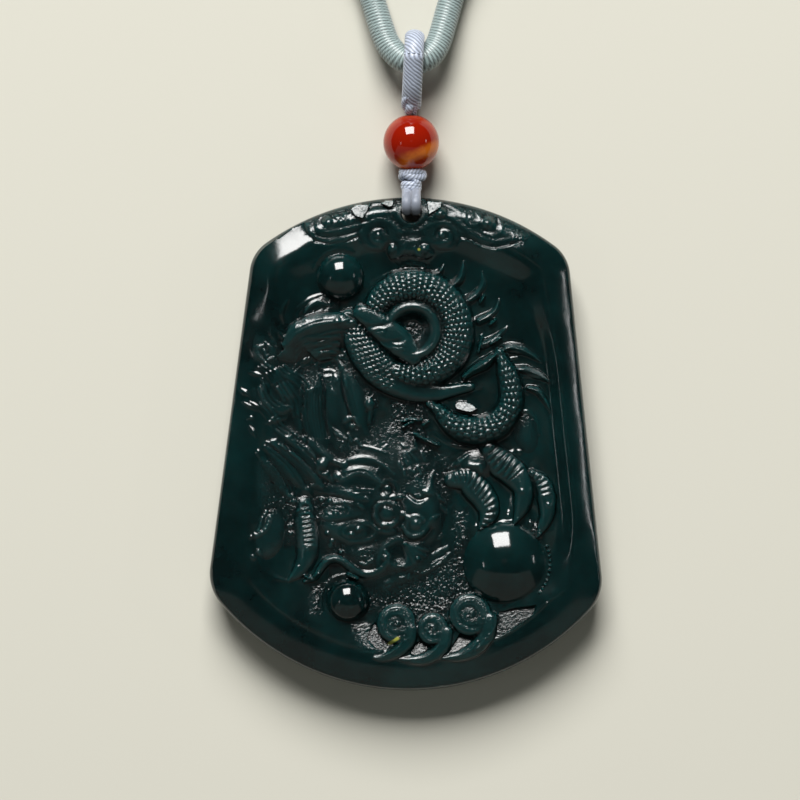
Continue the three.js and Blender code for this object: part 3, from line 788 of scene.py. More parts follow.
def carve_tail(stone):
    """The scaled loop of the tail, the spines on its right and the elbow."""
    tail = stone.ridge([(2.19, 4.28), (3.16, 3.64), (4.76, 2.14), (7.12, 1.39), (9.47, 2.14), (10.86, 4.17),
        (10.86, 6.31), (10.22, 8.35), (9.68, 9.84)], (0.4, 1.0, 1.55, 1.65, 1.6, 1.45, 1.35, 1.1, 0.5),
        (0.9, 1.3, 1.55, 1.65, 1.65, 1.6, 1.5, 1.3, 0.9), top=tail_top)
    stone.scales(tail, 0.68, 0.62, 0.19, edge=0.86)
    stone.strokes([
        ([(2.03, 3.64), (2.14, 4.17), (2.73, 4.49), (3.58, 4.65), (4.23, 4.55)], 0.2, 0.3),
        ([(2.51, 3.75), (3.05, 4.12), (3.8, 4.33)], 0.16, 0.2),
        ([(2.09, 3.42), (2.62, 2.89), (3.37, 2.25), (4.01, 1.71)], 0.2, 0.28),
        ([(3.8, 3.53), (4.65, 3.1), (5.72, 2.76), (6.79, 2.67), (7.86, 2.78)], 0.17, 0.22),
        ([(3.58, 3.26), (4.44, 2.78), (5.51, 2.43), (6.79, 2.38)], 0.16, 0.18),
        ([(2.51, 1.07), (3.48, 0.48), (4.55, -0.05), (5.94, -0.37), (7.44, -0.45), (8.72, -0.05),
            (9.79, 0.54), (10.75, 1.12)], 0.2, 0.5),
        ([(2.62, 1.34), (3.69, 0.75), (4.87, 0.21)], 0.14, 0.2),
    ])
    # bright facet inside the loop
    stone.facet([(4.98, 4.28), (5.4, 4.6), (6.15, 4.49), (6.9, 4.17), (7.33, 3.69), (6.58, 3.42),
        (5.72, 3.58), (5.08, 3.8)], 0.44, 95, 5.0)
    # ridges left of the loop
    stone.ridge([(-0.7, 2.46), (0.05, 2.62), (1.34, 2.57)], 0.22, 0.6)
    stone.ridge([(-0.59, 1.82), (-0.05, 2.19), (0.48, 2.35)], 0.2, 0.55)
    stone.ridge([(0.7, 1.07), (1.66, 0.54), (3.16, -0.11)], 0.25, 0.7)
    stone.ridge([(1.55, 2.03), (2.09, 2.35)], 0.18, 0.6)
    # spines on the right
    for path, half in [
        ([(9.79, 9.84), (10.65, 10.27), (11.93, 10.11), (13.11, 9.52), (14.18, 8.72)],
            (0.4, 0.62, 0.6, 0.4, 0.1)),
        ([(11.4, 8.03), (12.47, 7.92), (13.64, 7.49), (14.71, 6.9), (15.46, 6.1)],
            (0.4, 0.6, 0.55, 0.35, 0.1)),
        ([(12.79, 5.99), (13.75, 5.67), (14.39, 4.92), (14.93, 4.07), (15.19, 3.32)],
            (0.35, 0.5, 0.45, 0.3, 0.1)),
    ]:
        stone.fin(path, half, (0.55, 0.48, 0.42, 0.32, 0.15))
    stone.lines([
        [(10.54, 9.63), (10.97, 9.74), (11.61, 9.68)], [(10.86, 9.1), (11.61, 9.26)],
        [(12.25, 7.22), (13, 7.17), (13.86, 7.01)], [(11.29, 8.13), (11.61, 7.49), (11.93, 6.85)],
        [(12.36, 5.67), (12.79, 5.35)],
    ], 0.2, 0.28)
    # elbow
    stone.boss((12.57, 1.18), (1.3, 2.2), 0.24, 8)
    stone.line([(11.29, 2.78), (11.93, 3.42), (12.79, 3.42), (13.64, 2.57), (13.96, 1.07)], 0.22, 0.3)


def carve_masses(stone):
    """The broad low masses that the mane and the head are cut in."""
    # neck, its side, swirl by the rim, long locks, foot of the neck, flames by the rim
    for centre, size, rise, turn in [
        ((-9.9, 3), (2.9, 5.6), 0.24, 4), ((-6.37, 4.71), (2.5, 4.8), 0.36, 14),
        ((-13.96, 5.56), (2.8, 4.4), 0.3, -14), ((-12.68, -1.18), (4.6, 3.0), 0.26, -40),
        ((-9.68, -2.14), (2.8, 2.8), 0.25, 0), ((-6.05, 0.43), (2.8, 2.4), 0.25, 0),
        ((-14.82, 10.06), (1.8, 2.4), 0.2, 0),
    ]:
        stone.boss(centre, size, rise, turn, plateau_top)
    stone.soften(10)
    # whole head, then brow, nose, cheek, mouth, lip
    for centre, size, rise, turn in [
        ((-3.05, -6.85), (7.2, 9.8), 0.52, 0), ((-4.98, -4.28), (3.6, 4.2), 0.68, 0),
        ((0.8, -7.06), (3.2, 5.0), 0.68, 0), ((-6.47, -8.24), (3.8, 2.8), 0.66, 0),
        ((-0.91, -11.66), (3.4, 2.4), 0.62, 8), ((-2.19, -7.28), (2.6, 3.4), 0.72, 0),
    ]:
        stone.boss(centre, size, rise, turn, plateau_top)
    stone.soften(40)


def carve_mane(stone):
    """The haunch, the flames along the left rim, the neck and the long locks."""
    stone.tallest_line = 0.13
    crest = [(-12.89, 10.59), (-12.04, 11.56), (-10.75, 12.3), (-9.26, 12.79), (-7.33, 13), (-6.05, 12.84)]
    # haunch that falls away from the crest
    stone.ridge(crest, 0.3, (0.9, 1.3, 1.45, 1.45, 1.4, 1.3), top=haunch_top,
        right=(2.2, 3.4, 4.0, 4.0, 3.4, 2.4))
    # waves across the haunch
    brow = smooth_path([(-12.04, 11.02), (-10.75, 11.98), (-9.26, 12.41), (-7.54, 12.57), (-6.05, 12.41)])
    for drop, bend in [
        (0.6, 0.25), (0.98, -0.2), (1.36, 0.22), (1.74, -0.18), (2.12, 0.2), (2.5, -0.2), (2.88, 0.2),
        (3.26, -0.2),
    ]:
        waves = 0.16 * np.sin(np.linspace(0, 9, len(brow)) + 3 * bend)
        stone.line(brow + np.column_stack([0.3 * waves, waves - drop]), 0.16, 0.075)
    # double crest
    stone.ridge(crest, (0.7, 1.3, 1.4, 1.4, 1.3, 0.9), (0.95, 1.35, 1.5, 1.5, 1.45, 1.3), top=round_top,
        right=0.5)
    stone.line([(-13, 10.91), (-12.14, 11.88), (-10.86, 12.63), (-9.31, 13.11), (-7.33, 13.32)], 0.1, -0.05)
    stone.spot((-7.54, 13.05), 0.5, 0.2)
    stone.lines([
        [(-6.9, 13.16), (-6.15, 13.48), (-5.3, 13.96)], [(-5.94, 13.05), (-5.4, 13.27), (-4.92, 13.64)],
        [(-7.01, 13.7), (-6.47, 13.96)], [(-6.15, 14.23), (-5.72, 14.45)],
    ], 0.26, 0.16)
    # arch over the hollow
    for radius, rise in [(1.5, 0.1), (2.05, 0.1), (2.6, 0.07), (3.2, 0.05), (3.8, 0.05)]:
        stone.line(arc((-8.51, 7.7), radius, 20, 152), 0.26, rise)
    stone.spot((-8.51, 8.29), 1.35, -0.17)
    stone.line([(-11.29, 8.83), (-10.54, 9.26), (-9.26, 9.74)], 0.3, 0.3)
    # lock beside the small pearl
    stone.boss((-9.79, 14.02), (2.6, 1.9), 0.42, 35, plateau_top)
    stone.strokes([
        ([(-12.04, 12.41), (-11.82, 13.91), (-11.07, 14.98), (-10.11, 15.62), (-9.04, 16.05)],
            (0.25, 0.36, 0.4, 0.36, 0.18), 0.2),
        ([(-11.18, 14.02), (-10.65, 14.77), (-9.9, 15.35), (-8.93, 15.73)], (0.2, 0.26, 0.24, 0.12), 0.14),
        ([(-11.5, 13.48), (-11.07, 14.45), (-10.33, 15.19), (-9.47, 15.62)], 0.22, -0.12),
    ])
    stone.lines([
        [(-9.79, 13.91), (-9.15, 14.34)], [(-8.83, 14.12), (-8.29, 14.55)],
        [(-10.97, 13.27), (-10.65, 13.7)], [(-8.4, 15.09), (-7.97, 14.77)],
        [(-9.79, 13.27), (-9.26, 13.38)],
    ], 0.18, 0.22)
    # flames along the left rim
    stone.tallest_line = 0.22
    for path, half in [
        ([(-12.68, 15.52), (-13.21, 14.77), (-13.48, 13.91), (-13.27, 12.84)], (0.1, 0.36, 0.4, 0.1)),
        ([(-14.71, 12.41), (-14.66, 11.77), (-14.18, 11.02)], (0.12, 0.36, 0.12)),
        ([(-13.75, 11.77), (-13.32, 11.34)], (0.3, 0.38)),
        ([(-16.64, 10.38), (-16, 10.33), (-15.35, 10.59)], (0.15, 0.38, 0.15)),
        ([(-16.21, 10.06), (-15.89, 9.31), (-15.14, 8.61)], (0.14, 0.38, 0.12)),
        ([(-15.03, 8.99), (-14.5, 9.2)], (0.3, 0.25)),
        ([(-15.46, 10.06), (-15.14, 9.31)], (0.25, 0.3)),
        ([(-15.25, 10.81), (-14.82, 10.38)], (0.2, 0.2)),
        ([(-16.85, 7.6), (-16.32, 7.49), (-15.57, 7.28)], (0.25, 0.4, 0.12)),
        ([(-15.57, 6.96), (-15.35, 6.42)], (0.22, 0.2)),
        ([(-17.92, 5.88), (-17.39, 5.46), (-16.96, 5.14)], (0.2, 0.45, 0.18)),
        ([(-17.71, 4.49), (-16.96, 4.07), (-16.1, 3.53)], (0.12, 0.36, 0.12)),
        ([(-17.17, 4.6), (-16.53, 4.28), (-15.89, 3.96)], (0.1, 0.28, 0.1)),
        ([(-17.17, 2.67), (-16.85, 2.84), (-16.53, 2.67)], (0.15, 0.3, 0.15)),
        ([(-16.96, 1.93), (-16.53, 1.28), (-16.21, 0.64)], (0.15, 0.4, 0.12)),
        ([(-15.46, 2.14), (-14.39, 2.46), (-13.11, 2.78)], (0.12, 0.34, 0.14)),
        ([(-14.5, 2.67), (-13.75, 3.32)], (0.28, 0.1)),
    ]:
        stone.line(path, tuple(0.85 * wide for wide in half), 0.22)
    stone.tallest_line = 0.13
    # swirls between the rim and the neck
    for path in [
        [(-13.64, 8.13), (-12.89, 7.49), (-11.93, 7.06), (-11.29, 6.42), (-10.86, 5.67)],
        [(-14.61, 7.7), (-13.96, 6.74), (-13.43, 5.88), (-12.89, 4.92)],
        [(-15.46, 6.21), (-15.03, 5.03), (-14.18, 4.07), (-12.89, 3.64)],
        [(-13.32, 6.42), (-12.68, 5.56), (-12.04, 4.49), (-11.82, 3.21)],
        [(-15.89, 4.28), (-15.03, 3.42), (-13.75, 1.71), (-12.47, 0.86)],
        [(-15.68, 8.35), (-14.82, 7.7), (-14.18, 6.63)],
    ]:
        for aside in (-0.4, 0.0, 0.42):
            stone.line([(x + aside, y + 0.5 * aside) for x, y in path], 0.24, 0.085)
    # columns of the neck, with grooves between them
    for i in range(8):
        x = 0.32 * i - 11.07
        stone.line([(x, 6.0), (x - 0.1, 3.4), (x + 0.3, 0.65)], 0.13, -0.06)
    stone.strokes([
        ([(-9.9, 6.85), (-10.22, 5.14), (-10.22, 2.78), (-9.68, 0.43), (-8.61, -1.5)],
            (0.6, 1.15, 1.2, 1.1, 0.7), (0.0, 0.09, 0.11, 0.1, 0.05)),
        ([(-7.97, 7.49), (-8.29, 5.56), (-8.08, 3.42), (-7.12, 1.28)], (0.5, 0.75, 0.7, 0.4),
            (0.0, 0.08, 0.09, 0.05)),
        ([(-7.22, 8.99), (-6.26, 7.06), (-5.72, 4.92), (-5.08, 2.78), (-4.55, 1.28)],
            (0.5, 0.95, 1.0, 0.8, 0.4), (0.0, 0.1, 0.12, 0.1, 0.05)),
    ])
    stone.lines([
        [(-9.26, 7.06), (-8.93, 5.24), (-8.93, 3.1), (-8.51, 0.86)],
        [(-7.22, 7.7), (-7.01, 5.56), (-6.37, 3.42), (-5.51, 1.71)],
        [(-11.29, 6.21), (-11.4, 4.28), (-11.4, 2.14), (-10.75, 0.21)],
    ], 0.24, -0.2)
    stone.lines([
        [(-9.68, 5.78), (-9.52, 3.85), (-9.36, 1.71)], [(-9.36, 5.99), (-9.2, 4.28), (-9.15, 2.57)],
        [(-6.69, 7.7), (-6.15, 5.56), (-5.51, 3.42)], [(-10.75, 5.14), (-10.75, 3), (-10.33, 0.86)],
    ], 0.12, -0.05)
    stone.lines([
        [(-11.45, 5.78), (-11.34, 4.49)], [(-11.56, 2.46), (-11.4, 1.71)],
        [(-8.93, 7.81), (-8.4, 7.86), (-7.97, 7.7)], [(-8.83, 7.17), (-8.29, 7.28)],
        [(-7.97, 7.38), (-7.65, 6.85)], [(-6.79, 6.74), (-6.58, 6.21)], [(-8.19, 5.78), (-7.86, 5.35)],
        [(-10.54, 5.67), (-10.11, 5.99)], [(-13.96, 5.99), (-13.32, 5.14)],
        [(-12.04, 0.96), (-11.72, 0.64)],
    ], 0.2, 0.24)
    # curls at the neck's foot
    stone.strokes([
        ([(-6.79, 2.46), (-6.37, 2.78), (-5.72, 2.67), (-5.4, 2.03), (-6.05, 1.93)], 0.28, 0.17),
        ([(-8.08, 1.71), (-7.44, 1.07), (-6.69, 0.54)], (0.15, 0.38, 0.2), 0.4),
        ([(-6.47, 1.07), (-6.05, 0.32)], 0.22, 0.3),
        ([(-5.51, 0.43), (-5.08, -0.21)], 0.24, 0.35),
        ([(-4.23, 4.71), (-4.01, 3.64), (-4.23, 2.25)], (0.45, 0.34, 0.2), 0.25),
    ])
    stone.spot((-4.12, 4.28), 0.6, 0.2)
    # long locks to the lower left
    stone.strokes([
        ([(-16, -0.86), (-14.61, -2.57), (-13.21, -4.71), (-11.93, -6.21)], (0.4, 0.8, 0.8, 0.3),
            (0.15, 0.3, 0.35, 0.15)),
        ([(-15.25, -0.32), (-13.54, -1.71), (-11.93, -3.64), (-10.33, -5.56)], (0.4, 0.8, 0.8, 0.3),
            (0.2, 0.32, 0.36, 0.2)),
        ([(-14.28, 0.11), (-12.47, -1.18), (-10.75, -2.67), (-9.26, -4.49)], (0.4, 0.8, 0.8, 0.35),
            (0.2, 0.34, 0.38, 0.2)),
        ([(-12.79, 0.64), (-11.18, -0.64), (-9.68, -2.25), (-8.19, -3.85)], (0.4, 0.75, 0.75, 0.4),
            (0.2, 0.3, 0.32, 0.2)),
        ([(-11.07, 0.64), (-9.68, -0.64), (-8.19, -1.71), (-6.69, -2.35)], (0.4, 0.75, 0.65, 0.3),
            (0.2, 0.3, 0.3, 0.2)),
    ])
    stone.lines([
        [(-15.25, -1.28), (-13.75, -3), (-12.47, -5.35)],
        [(-14.28, -0.54), (-12.25, -2.35), (-10.75, -4.49)], [(-13.21, 0), (-11.18, -1.71), (-9.47, -3.64)],
        [(-14.82, -0.64), (-13, -2.25), (-11.4, -4.28)],
        [(-13.75, -0.21), (-11.82, -1.82), (-10.11, -3.85)], [(-12.04, 0.21), (-10.43, -1.28), (-8.83, -3)],
    ], 0.15, -0.07)
    stone.lines([
        [(-15.14, 0.21), (-14.5, 0), (-13.86, -0.54)], [(-14.61, 0.32), (-14.07, 0.43)],
        [(-13.75, -0.11), (-13.11, -0.54)], [(-12.57, -0.86), (-11.61, -1.6)],
        [(-10.86, -0.32), (-9.9, -1.5)], [(-10.43, -4.39), (-9.79, -4.33)],
    ], 0.2, 0.2)
    stone.spot((-9.15, -2.09), 0.7, 0.45)
    stone.line([(-9.68, -2.57), (-9.47, -3.1), (-8.93, -3.32), (-8.51, -2.89)], 0.18, 0.16)


def carve_head(stone):
    """The dragon's head in profile: brow, eye, cheek, snout, mouth, whisker and beard."""
    stone.tallest_line = 0.11
    # two rolls of the brow
    stone.strokes([
        ([(-7.12, -2.03), (-6.26, -1.66), (-4.98, -1.44), (-3.8, -1.6), (-2.51, -2.35), (-1.55, -3.21)],
            (0.2, 0.3, 0.32, 0.3, 0.26, 0.2), 0.085),
        ([(-7.86, -1.77), (-7.22, -1.93), (-6.58, -2.14)], 0.2, 0.25),
        ([(-7.33, -3.85), (-6.37, -3.42), (-5.4, -3.1), (-4.44, -3.26), (-3.37, -3.75), (-2.62, -4.28)],
            (0.2, 0.28, 0.3, 0.28, 0.24, 0.16), 0.09),
        ([(-6.9, -2.94), (-6.05, -2.78), (-5.19, -2.62), (-4.44, -2.8), (-3.8, -3.16), (-3.05, -3.8)],
            (0.14, 0.2, 0.22, 0.2, 0.18, 0.12), 0.18),
        ([(-6.69, -2.35), (-4.98, -2.14), (-3.48, -2.46)], 0.4, -0.09),
        ([(-7.12, -4.49), (-5.19, -4.28), (-3.26, -4.81)], 0.5, -0.04),
        ([(-4.98, -0.21), (-3.91, -0.43), (-3.05, -0.7), (-2.3, -0.96)], (0.16, 0.2, 0.2, 0.14), 0.08),
        ([(-2.73, -0.54), (-2.3, -0.11)], 0.16, 0.2),
    ])
    stone.spot((-7.65, -3.42), 0.5, 0.2)
    stone.line([(-5.72, -5.31), (-4.98, -5.24), (-4.01, -5.18)], 0.13, 0.07)
    stone.line([(-5.51, -4.92), (-4.55, -4.88), (-3.69, -4.88)], 0.13, 0.07)
    # round of the forehead
    stone.line(arc(FOREHEAD, 1.05, -20, 200), 0.24, 0.05)
    stone.line(arc(FOREHEAD, 0.6, 0, 360), 0.2, -0.12)
    stone.spot((-2.3, -4.55), 0.5, 0.1)
    stone.spot((-2.51, -5.51), 0.5, 0.1)
    # eye
    for radius, rise in [(0.85, -0.08), (1.2, 0.04), (1.6, -0.05), (1.95, 0.04)]:
        stone.line(arc(EYE, radius, 50, 330), 0.26, rise)
    stone.spot(EYE, 0.72, 0.12)
    stone.line([(-3.64, -6.79), (-3.1, -6.21)], 0.22, 0.26)
    stone.spot((-2.54, -6.79), 0.28, 0.1)
    stone.strokes([
        ([(-2.84, -8.77), (-2.3, -8.51)], 0.24, 0.26),
        ([(-1.87, -8.83), (-1.07, -8.29)], 0.22, 0.3),
        ([(-1.12, -5.99), (-0.59, -6.85), (-0.7, -8.03), (-1.34, -8.99)], 0.35, -0.2),
    ])
    # cheek lobes
    for path in [arc((-7.97, -7.12), 1.75, 0, 360), arc((-7.76, -7.28), 1.0, 40, 330)]:
        stone.line(squeezed(path, -7.12), 0.26, 0.055)
    stone.line([(-9.79, -8.24), (-8.19, -8.19), (-6.69, -8.29), (-4.98, -7.92)], 0.4, -0.07)
    for path in [arc((-5.51, -9.31), 2.1, 0, 360), arc((-5.72, -9.36), 1.2, 20, 340)]:
        stone.line(squeezed(path, -9.31), 0.28, 0.06)
    stone.strokes([
        ([(-7.97, -6.31), (-7.01, -6.15), (-6.05, -6.31)], 0.22, 0.26),
        ([(-6.9, -6.21), (-6.79, -6.63)], 0.16, 0.16),
        ([(-5.4, -6.31), (-4.87, -6.85)], 0.22, 0.2),
        ([(-11.61, -5.14), (-9.9, -4.71), (-7.97, -4.81), (-6.05, -5.46), (-4.33, -5.88)],
            (0.4, 0.7, 0.8, 0.7, 0.3), 0.08),
        ([(-11.4, -5.99), (-9.68, -5.56), (-7.76, -5.67), (-6.05, -5.99)], 0.34, -0.06),
    ])
    stone.spots([
        (-5.35, -9.1), (-6.1, -9.63), (-7.76, -7.38), (-8.67, -9.52), (-8.4, -5.99), (-2.51, -12.09),
        (1.02, -12.3), (-8.29, -10.81), (-7.22, -11.56), (-9.31, -5.94), (-0.91, -5.67), (-8.19, -10.38),
    ], 0.3, 0.26)
    # nose and snout
    stone.tallest_line = 0.2
    stone.spot((0.91, -7.06), 1.9, 0.24)
    stone.spot((0.59, -8.99), 1.6, 0.2)
    stone.line([(-0.05, -5.67), (0.27, -5.99), (0.7, -6.36), (1.12, -6.48), (1.66, -6.21)],
        (0.2, 0.34, 0.34, 0.36, 0.2), 0.34)
    stone.line([(0.05, -5.35), (0.59, -5.78), (1.23, -5.94), (1.87, -5.67)], 0.3, -0.3)
    stone.spot((-0.59, -7.49), 0.38, 0.18)
    stone.spot((-0.18, -7.76), 0.3, 0.14)
    stone.line([(0.16, -8.13), (0.8, -7.86)], 0.18, 0.2)
    stone.line(arc((0.8, -8.56), 0.95, 20, 200), 0.2, 0.16)
    stone.spot((0.8, -8.56), 0.6, 0.25)
    stone.strokes([
        ([(-0.7, -8.67), (-0.37, -9.31), (0.16, -9.79), (0.8, -9.88), (1.44, -9.58), (1.98, -8.99)],
            (0.2, 0.3, 0.36, 0.36, 0.32, 0.2), 0.4),
        ([(1.98, -8.67), (2.51, -8.08), (3.26, -7.49)], (0.3, 0.34, 0.16), 0.36),
        ([(-0.8, -9.31), (-0.27, -10.06), (0.8, -10.38), (1.77, -9.95), (2.51, -9.1)], 0.35, -0.3),
        ([(1.23, -9.2), (1.66, -8.77)], 0.2, 0.24),
    ])
    stone.tallest_line = 0.12
    # hair on the right of the head
    stone.strokes([
        ([(2.73, -2.89), (2.41, -3.64), (2.3, -4.49), (1.98, -5.24)], (0.16, 0.28, 0.28, 0.36), 0.2),
        ([(3.05, -5.35), (3.37, -5.78), (3.91, -6.1)], (0.18, 0.32, 0.16), 0.2),
        ([(1.66, -5.03), (2.09, -5.14), (2.62, -5.35)], 0.24, 0.15),
        ([(3.48, -6.53), (4.01, -7.17)], 0.24, 0.15),
    ])
    stone.lines([
        [(-0.59, -0.96), (-0.37, -1.5), (-0.16, -2.14)], [(-0.27, -0.86), (0.05, -1.5), (0.16, -2.03)],
        [(0.05, -0.75), (0.48, -1.28), (0.91, -1.71)], [(-0.7, 0), (-0.37, -0.32)],
        [(-0.48, -2.78), (-0.37, -3.32)], [(0.16, -2.67), (0.59, -3)], [(0.8, -3.53), (1.02, -3.96)],
        [(0.7, 0.43), (0.8, -0.54)], [(0.27, -0.64), (0.7, -0.54)], [(1.02, -2.35), (1.34, -3.21)],
        [(-1.02, -1.93), (-0.7, -2.57)], [(1.34, -0.86), (1.77, -1.71)],
    ], 0.2, 0.3)
    # mouth
    stone.line([(-3.05, -13.7), (-3.16, -12.41), (-2.73, -11.13), (-1.87, -10.33), (-0.8, -10),
        (0.59, -10.22)], (0.25, 0.4, 0.44, 0.44, 0.4, 0.2), 0.08)
    stone.spot((-1.12, -11.66), 1.3, -0.16)
    for end in [(-0.05, -12.52), (0.59, -12.52), (1.23, -12.41), (1.77, -11.98), (2.09, -11.34)]:
        stone.line([(-0.37, -10.7), end], 0.2, 0.2)
    stone.line([(-5.19, -12.73), (-4.55, -12.84), (-3.8, -12.3)], 0.24, 0.34)
    stone.line([(-9.15, -10.27), (-7.33, -10.91), (-5.19, -10.91), (-3.48, -10.38)], 0.5, -0.05)
    # whisker
    stone.ridge([(-11.07, -14.66), (-10, -14.23), (-9.36, -13.27), (-8.72, -12.52), (-7.86, -12.25),
        (-7.01, -12.52), (-6.15, -13.16), (-5.08, -13.75), (-3.91, -13.8), (-2.84, -13.27), (-2.19, -12.2),
        (-2.51, -11.23)], (0.25, 0.4, 0.5, 0.55, 0.55, 0.6, 0.65, 0.7, 0.7, 0.65, 0.5, 0.3),
        (0.4, 0.55, 0.65, 0.78, 0.84, 0.78, 0.64, 0.52, 0.52, 0.66, 0.76, 0.74))
    stone.line([(-8.93, -12.63), (-8.29, -12.14), (-7.54, -12.07), (-6.79, -12.41)], 0.16, 0.16)
    stone.line([(-6.26, -12.84), (-5.72, -13.21)], 0.2, 0.2)
    stone.ridge([(-6.37, -13.91), (-5.51, -14.34)], 0.3, 0.95)
    stone.ridge([(-10.97, -14.12), (-10.54, -14.34)], 0.24, 0.8)
    stone.ridge([(-10, -14.12), (-9.58, -13.7)], 0.24, 0.9)
    # jaw and beard
    stone.line([(-2.41, -14.87), (-1.12, -14.34), (0.37, -13.96), (2.09, -13.21), (3.91, -12.2)],
        (0.3, 0.75, 0.8, 0.7, 0.3), 0.1)
    stone.line([(-0.48, -13.05), (1.23, -12.84), (2.94, -11.88), (4.23, -10.91)], (0.4, 0.8, 0.7, 0.2), 0.1)
    stone.lines([
        [(1.44, -13.8), (2.51, -13.27), (3.48, -12.63)], [(2.41, -13.05), (3.05, -12.52)],
        [(2.62, -13.21), (3.26, -12.73)], [(3.91, -12.09), (4.44, -11.66)],
        [(2.94, -11.66), (3.48, -11.23)], [(2.62, -11.82), (3.16, -11.45)], [(3.16, -10.06), (3.69, -9.63)],
        [(-1.02, -13.05), (-0.48, -13.05)], [(-0.91, -14.34), (-0.37, -14.18)],
        [(-0.05, -14.45), (0.05, -13.91)], [(-2.3, -15.3), (-1.55, -14.98)],
        [(0.59, -13.59), (1.02, -13.7)],
    ], 0.17, 0.09)


def carve_claws(stone):
    """The right claw over the big pearl and the left claw by the rim."""
    stone.tallest_line = 0.2
    # wrist of the right claw
    stone.boss((7.44, -2.14), (2.6, 1.7), 0.5, 20, soft_top)
    stone.strokes([
        ([(4.33, -2.67), (5.19, -2.03), (6.47, -1.07)], (0.2, 0.4, 0.2), 0.25),
        ([(6.47, -2.19), (7.12, -2.3), (7.65, -2.35), (7.76, -3.1)], 0.26, 0.2),
        ([(3.91, -3.21), (4.33, -3.53), (4.65, -3.75)], 0.26, 0.2),
    ])
    # three fingers
    one = stone.ridge([(4.65, -3.85), (6.15, -3.85), (7.33, -4.92), (8.29, -6.21), (8.51, -7.49),
        (7.65, -9.1)], (0.9, 1.5, 1.6, 1.45, 1.1, 0.2), (0.5, 0.7, 0.8, 0.85, 0.8, 0.5), top=finger_top)
    stone.ribs(one, 0.56, 0.075, slant=0.25, low=-0.25, high=0.85)
    two = stone.ridge([(8.61, -0.64), (9.79, -2.03), (11.29, -3.21), (12.25, -4.71), (12.14, -6.53),
        (11.29, -8.56)], (1.1, 1.7, 1.6, 1.25, 0.95, 0.2), (0.6, 0.8, 0.9, 0.95, 0.85, 0.5),
        top=finger_top)
    stone.ribs(first_part(two, 4.0), 0.62, 0.1, low=-0.6, high=0.8)
    three = stone.ridge([(13.21, -3.21), (14.07, -3.96), (14.61, -5.24), (14.82, -7.06), (14.5, -8.35),
        (13.75, -9.95)], (0.6, 1.05, 1.15, 0.95, 0.7, 0.15), (0.5, 0.7, 0.8, 0.8, 0.7, 0.4),
        top=finger_top)
    stone.ribs(first_part(three, 2.8), 0.55, 0.07, low=-0.4, high=0.6)
    stone.line([(14.07, -3.32), (14.82, -3.75), (15.46, -4.71)], 0.2, 0.12)
    stone.spots([
        (8.61, -6.96), (12.09, -5.03), (14.93, -6.53), (10.65, -7.7), (8.72, -4.49), (14.07, -9.74),
        (11.18, -0.86), (11.82, -0.86),
    ], 0.36, 0.14)
    stone.lines([
        [(11.18, -8.45), (11.72, -8.03)], [(13, -8.45), (13.54, -8.88)],
        [(9.15, -8.88), (10, -8.35), (10.97, -8.24)],
    ], 0.28, 0.16)
    stone.lines([
        [(9.47, -4.07), (10.33, -5.35), (10.65, -6.85)], [(13.11, -6.85), (13.64, -7.92), (13.43, -8.77)],
        [(5.51, -5.35), (6.58, -6.85), (7.22, -8.35)],
    ], (0.5, 0.8, 0.4), -0.2)
    # left claw: ribbed finger, then the broad one beside the rim
    finger = stone.ridge([(-11.07, -6.42), (-10.97, -8.13), (-10.75, -10.06), (-10.86, -11.98),
        (-11.61, -13.48), (-12.79, -14.55)], (0.9, 1.35, 1.45, 1.3, 0.95, 0.2),
        (0.45, 0.65, 0.7, 0.65, 0.5, 0.25))
    stone.ribs(first_part(finger, 4.6), 0.49, 0.1, slant=0.1, low=-0.3, high=0.45)
    stone.strokes([
        ([(-11.93, -7.17), (-11.4, -7.01), (-10.65, -7.49), (-9.68, -8.03)], 0.26, 0.2),
        ([(-10.97, -6.21), (-10.54, -6.53), (-10.11, -7.01)], 0.24, 0.15),
        ([(-10.86, -11.13), (-10.33, -10.91), (-9.9, -10.91)], 0.24, 0.15),
        ([(-12.57, -14.12), (-12.14, -13.48), (-11.82, -13.05)], 0.24, 0.15),
    ])
    stone.boss((-14.98, -9.63), (1.8, 2.8), 0.42, -14)
    stone.line([(-15.14, -7.22), (-15.68, -8.03), (-16, -9.1), (-16.85, -9.95)], 0.26, 0.2)
    stone.line([(-14.71, -7.76), (-15.03, -8.77), (-15.46, -9.31), (-16.32, -9.84)], 0.28, 0.2)
    stone.spots([
        (-15.14, -7.22), (-15.35, -7.54), (-15.57, -7.92), (-15.73, -8.35), (-15.84, -8.77), (-16.05, -9.2),
        (-16.42, -9.58), (-16.8, -9.9), (-14.77, -7.81), (-14.93, -8.24), (-15.03, -8.67), (-15.25, -9.1),
        (-15.68, -9.42), (-16.21, -9.74),
    ], 0.22, 0.06)
    stone.line([(-15.89, -11.56), (-15.57, -13.05), (-14.5, -14.12), (-13.11, -14.55)],
        (0.3, 0.6, 0.55, 0.15), 0.1)
    stone.spots([
        (-12.57, -8.77), (-12.47, -9.58), (-12.25, -6.26), (-16.05, -11.45), (-16.53, -12.09),
    ], 0.36, 0.15)


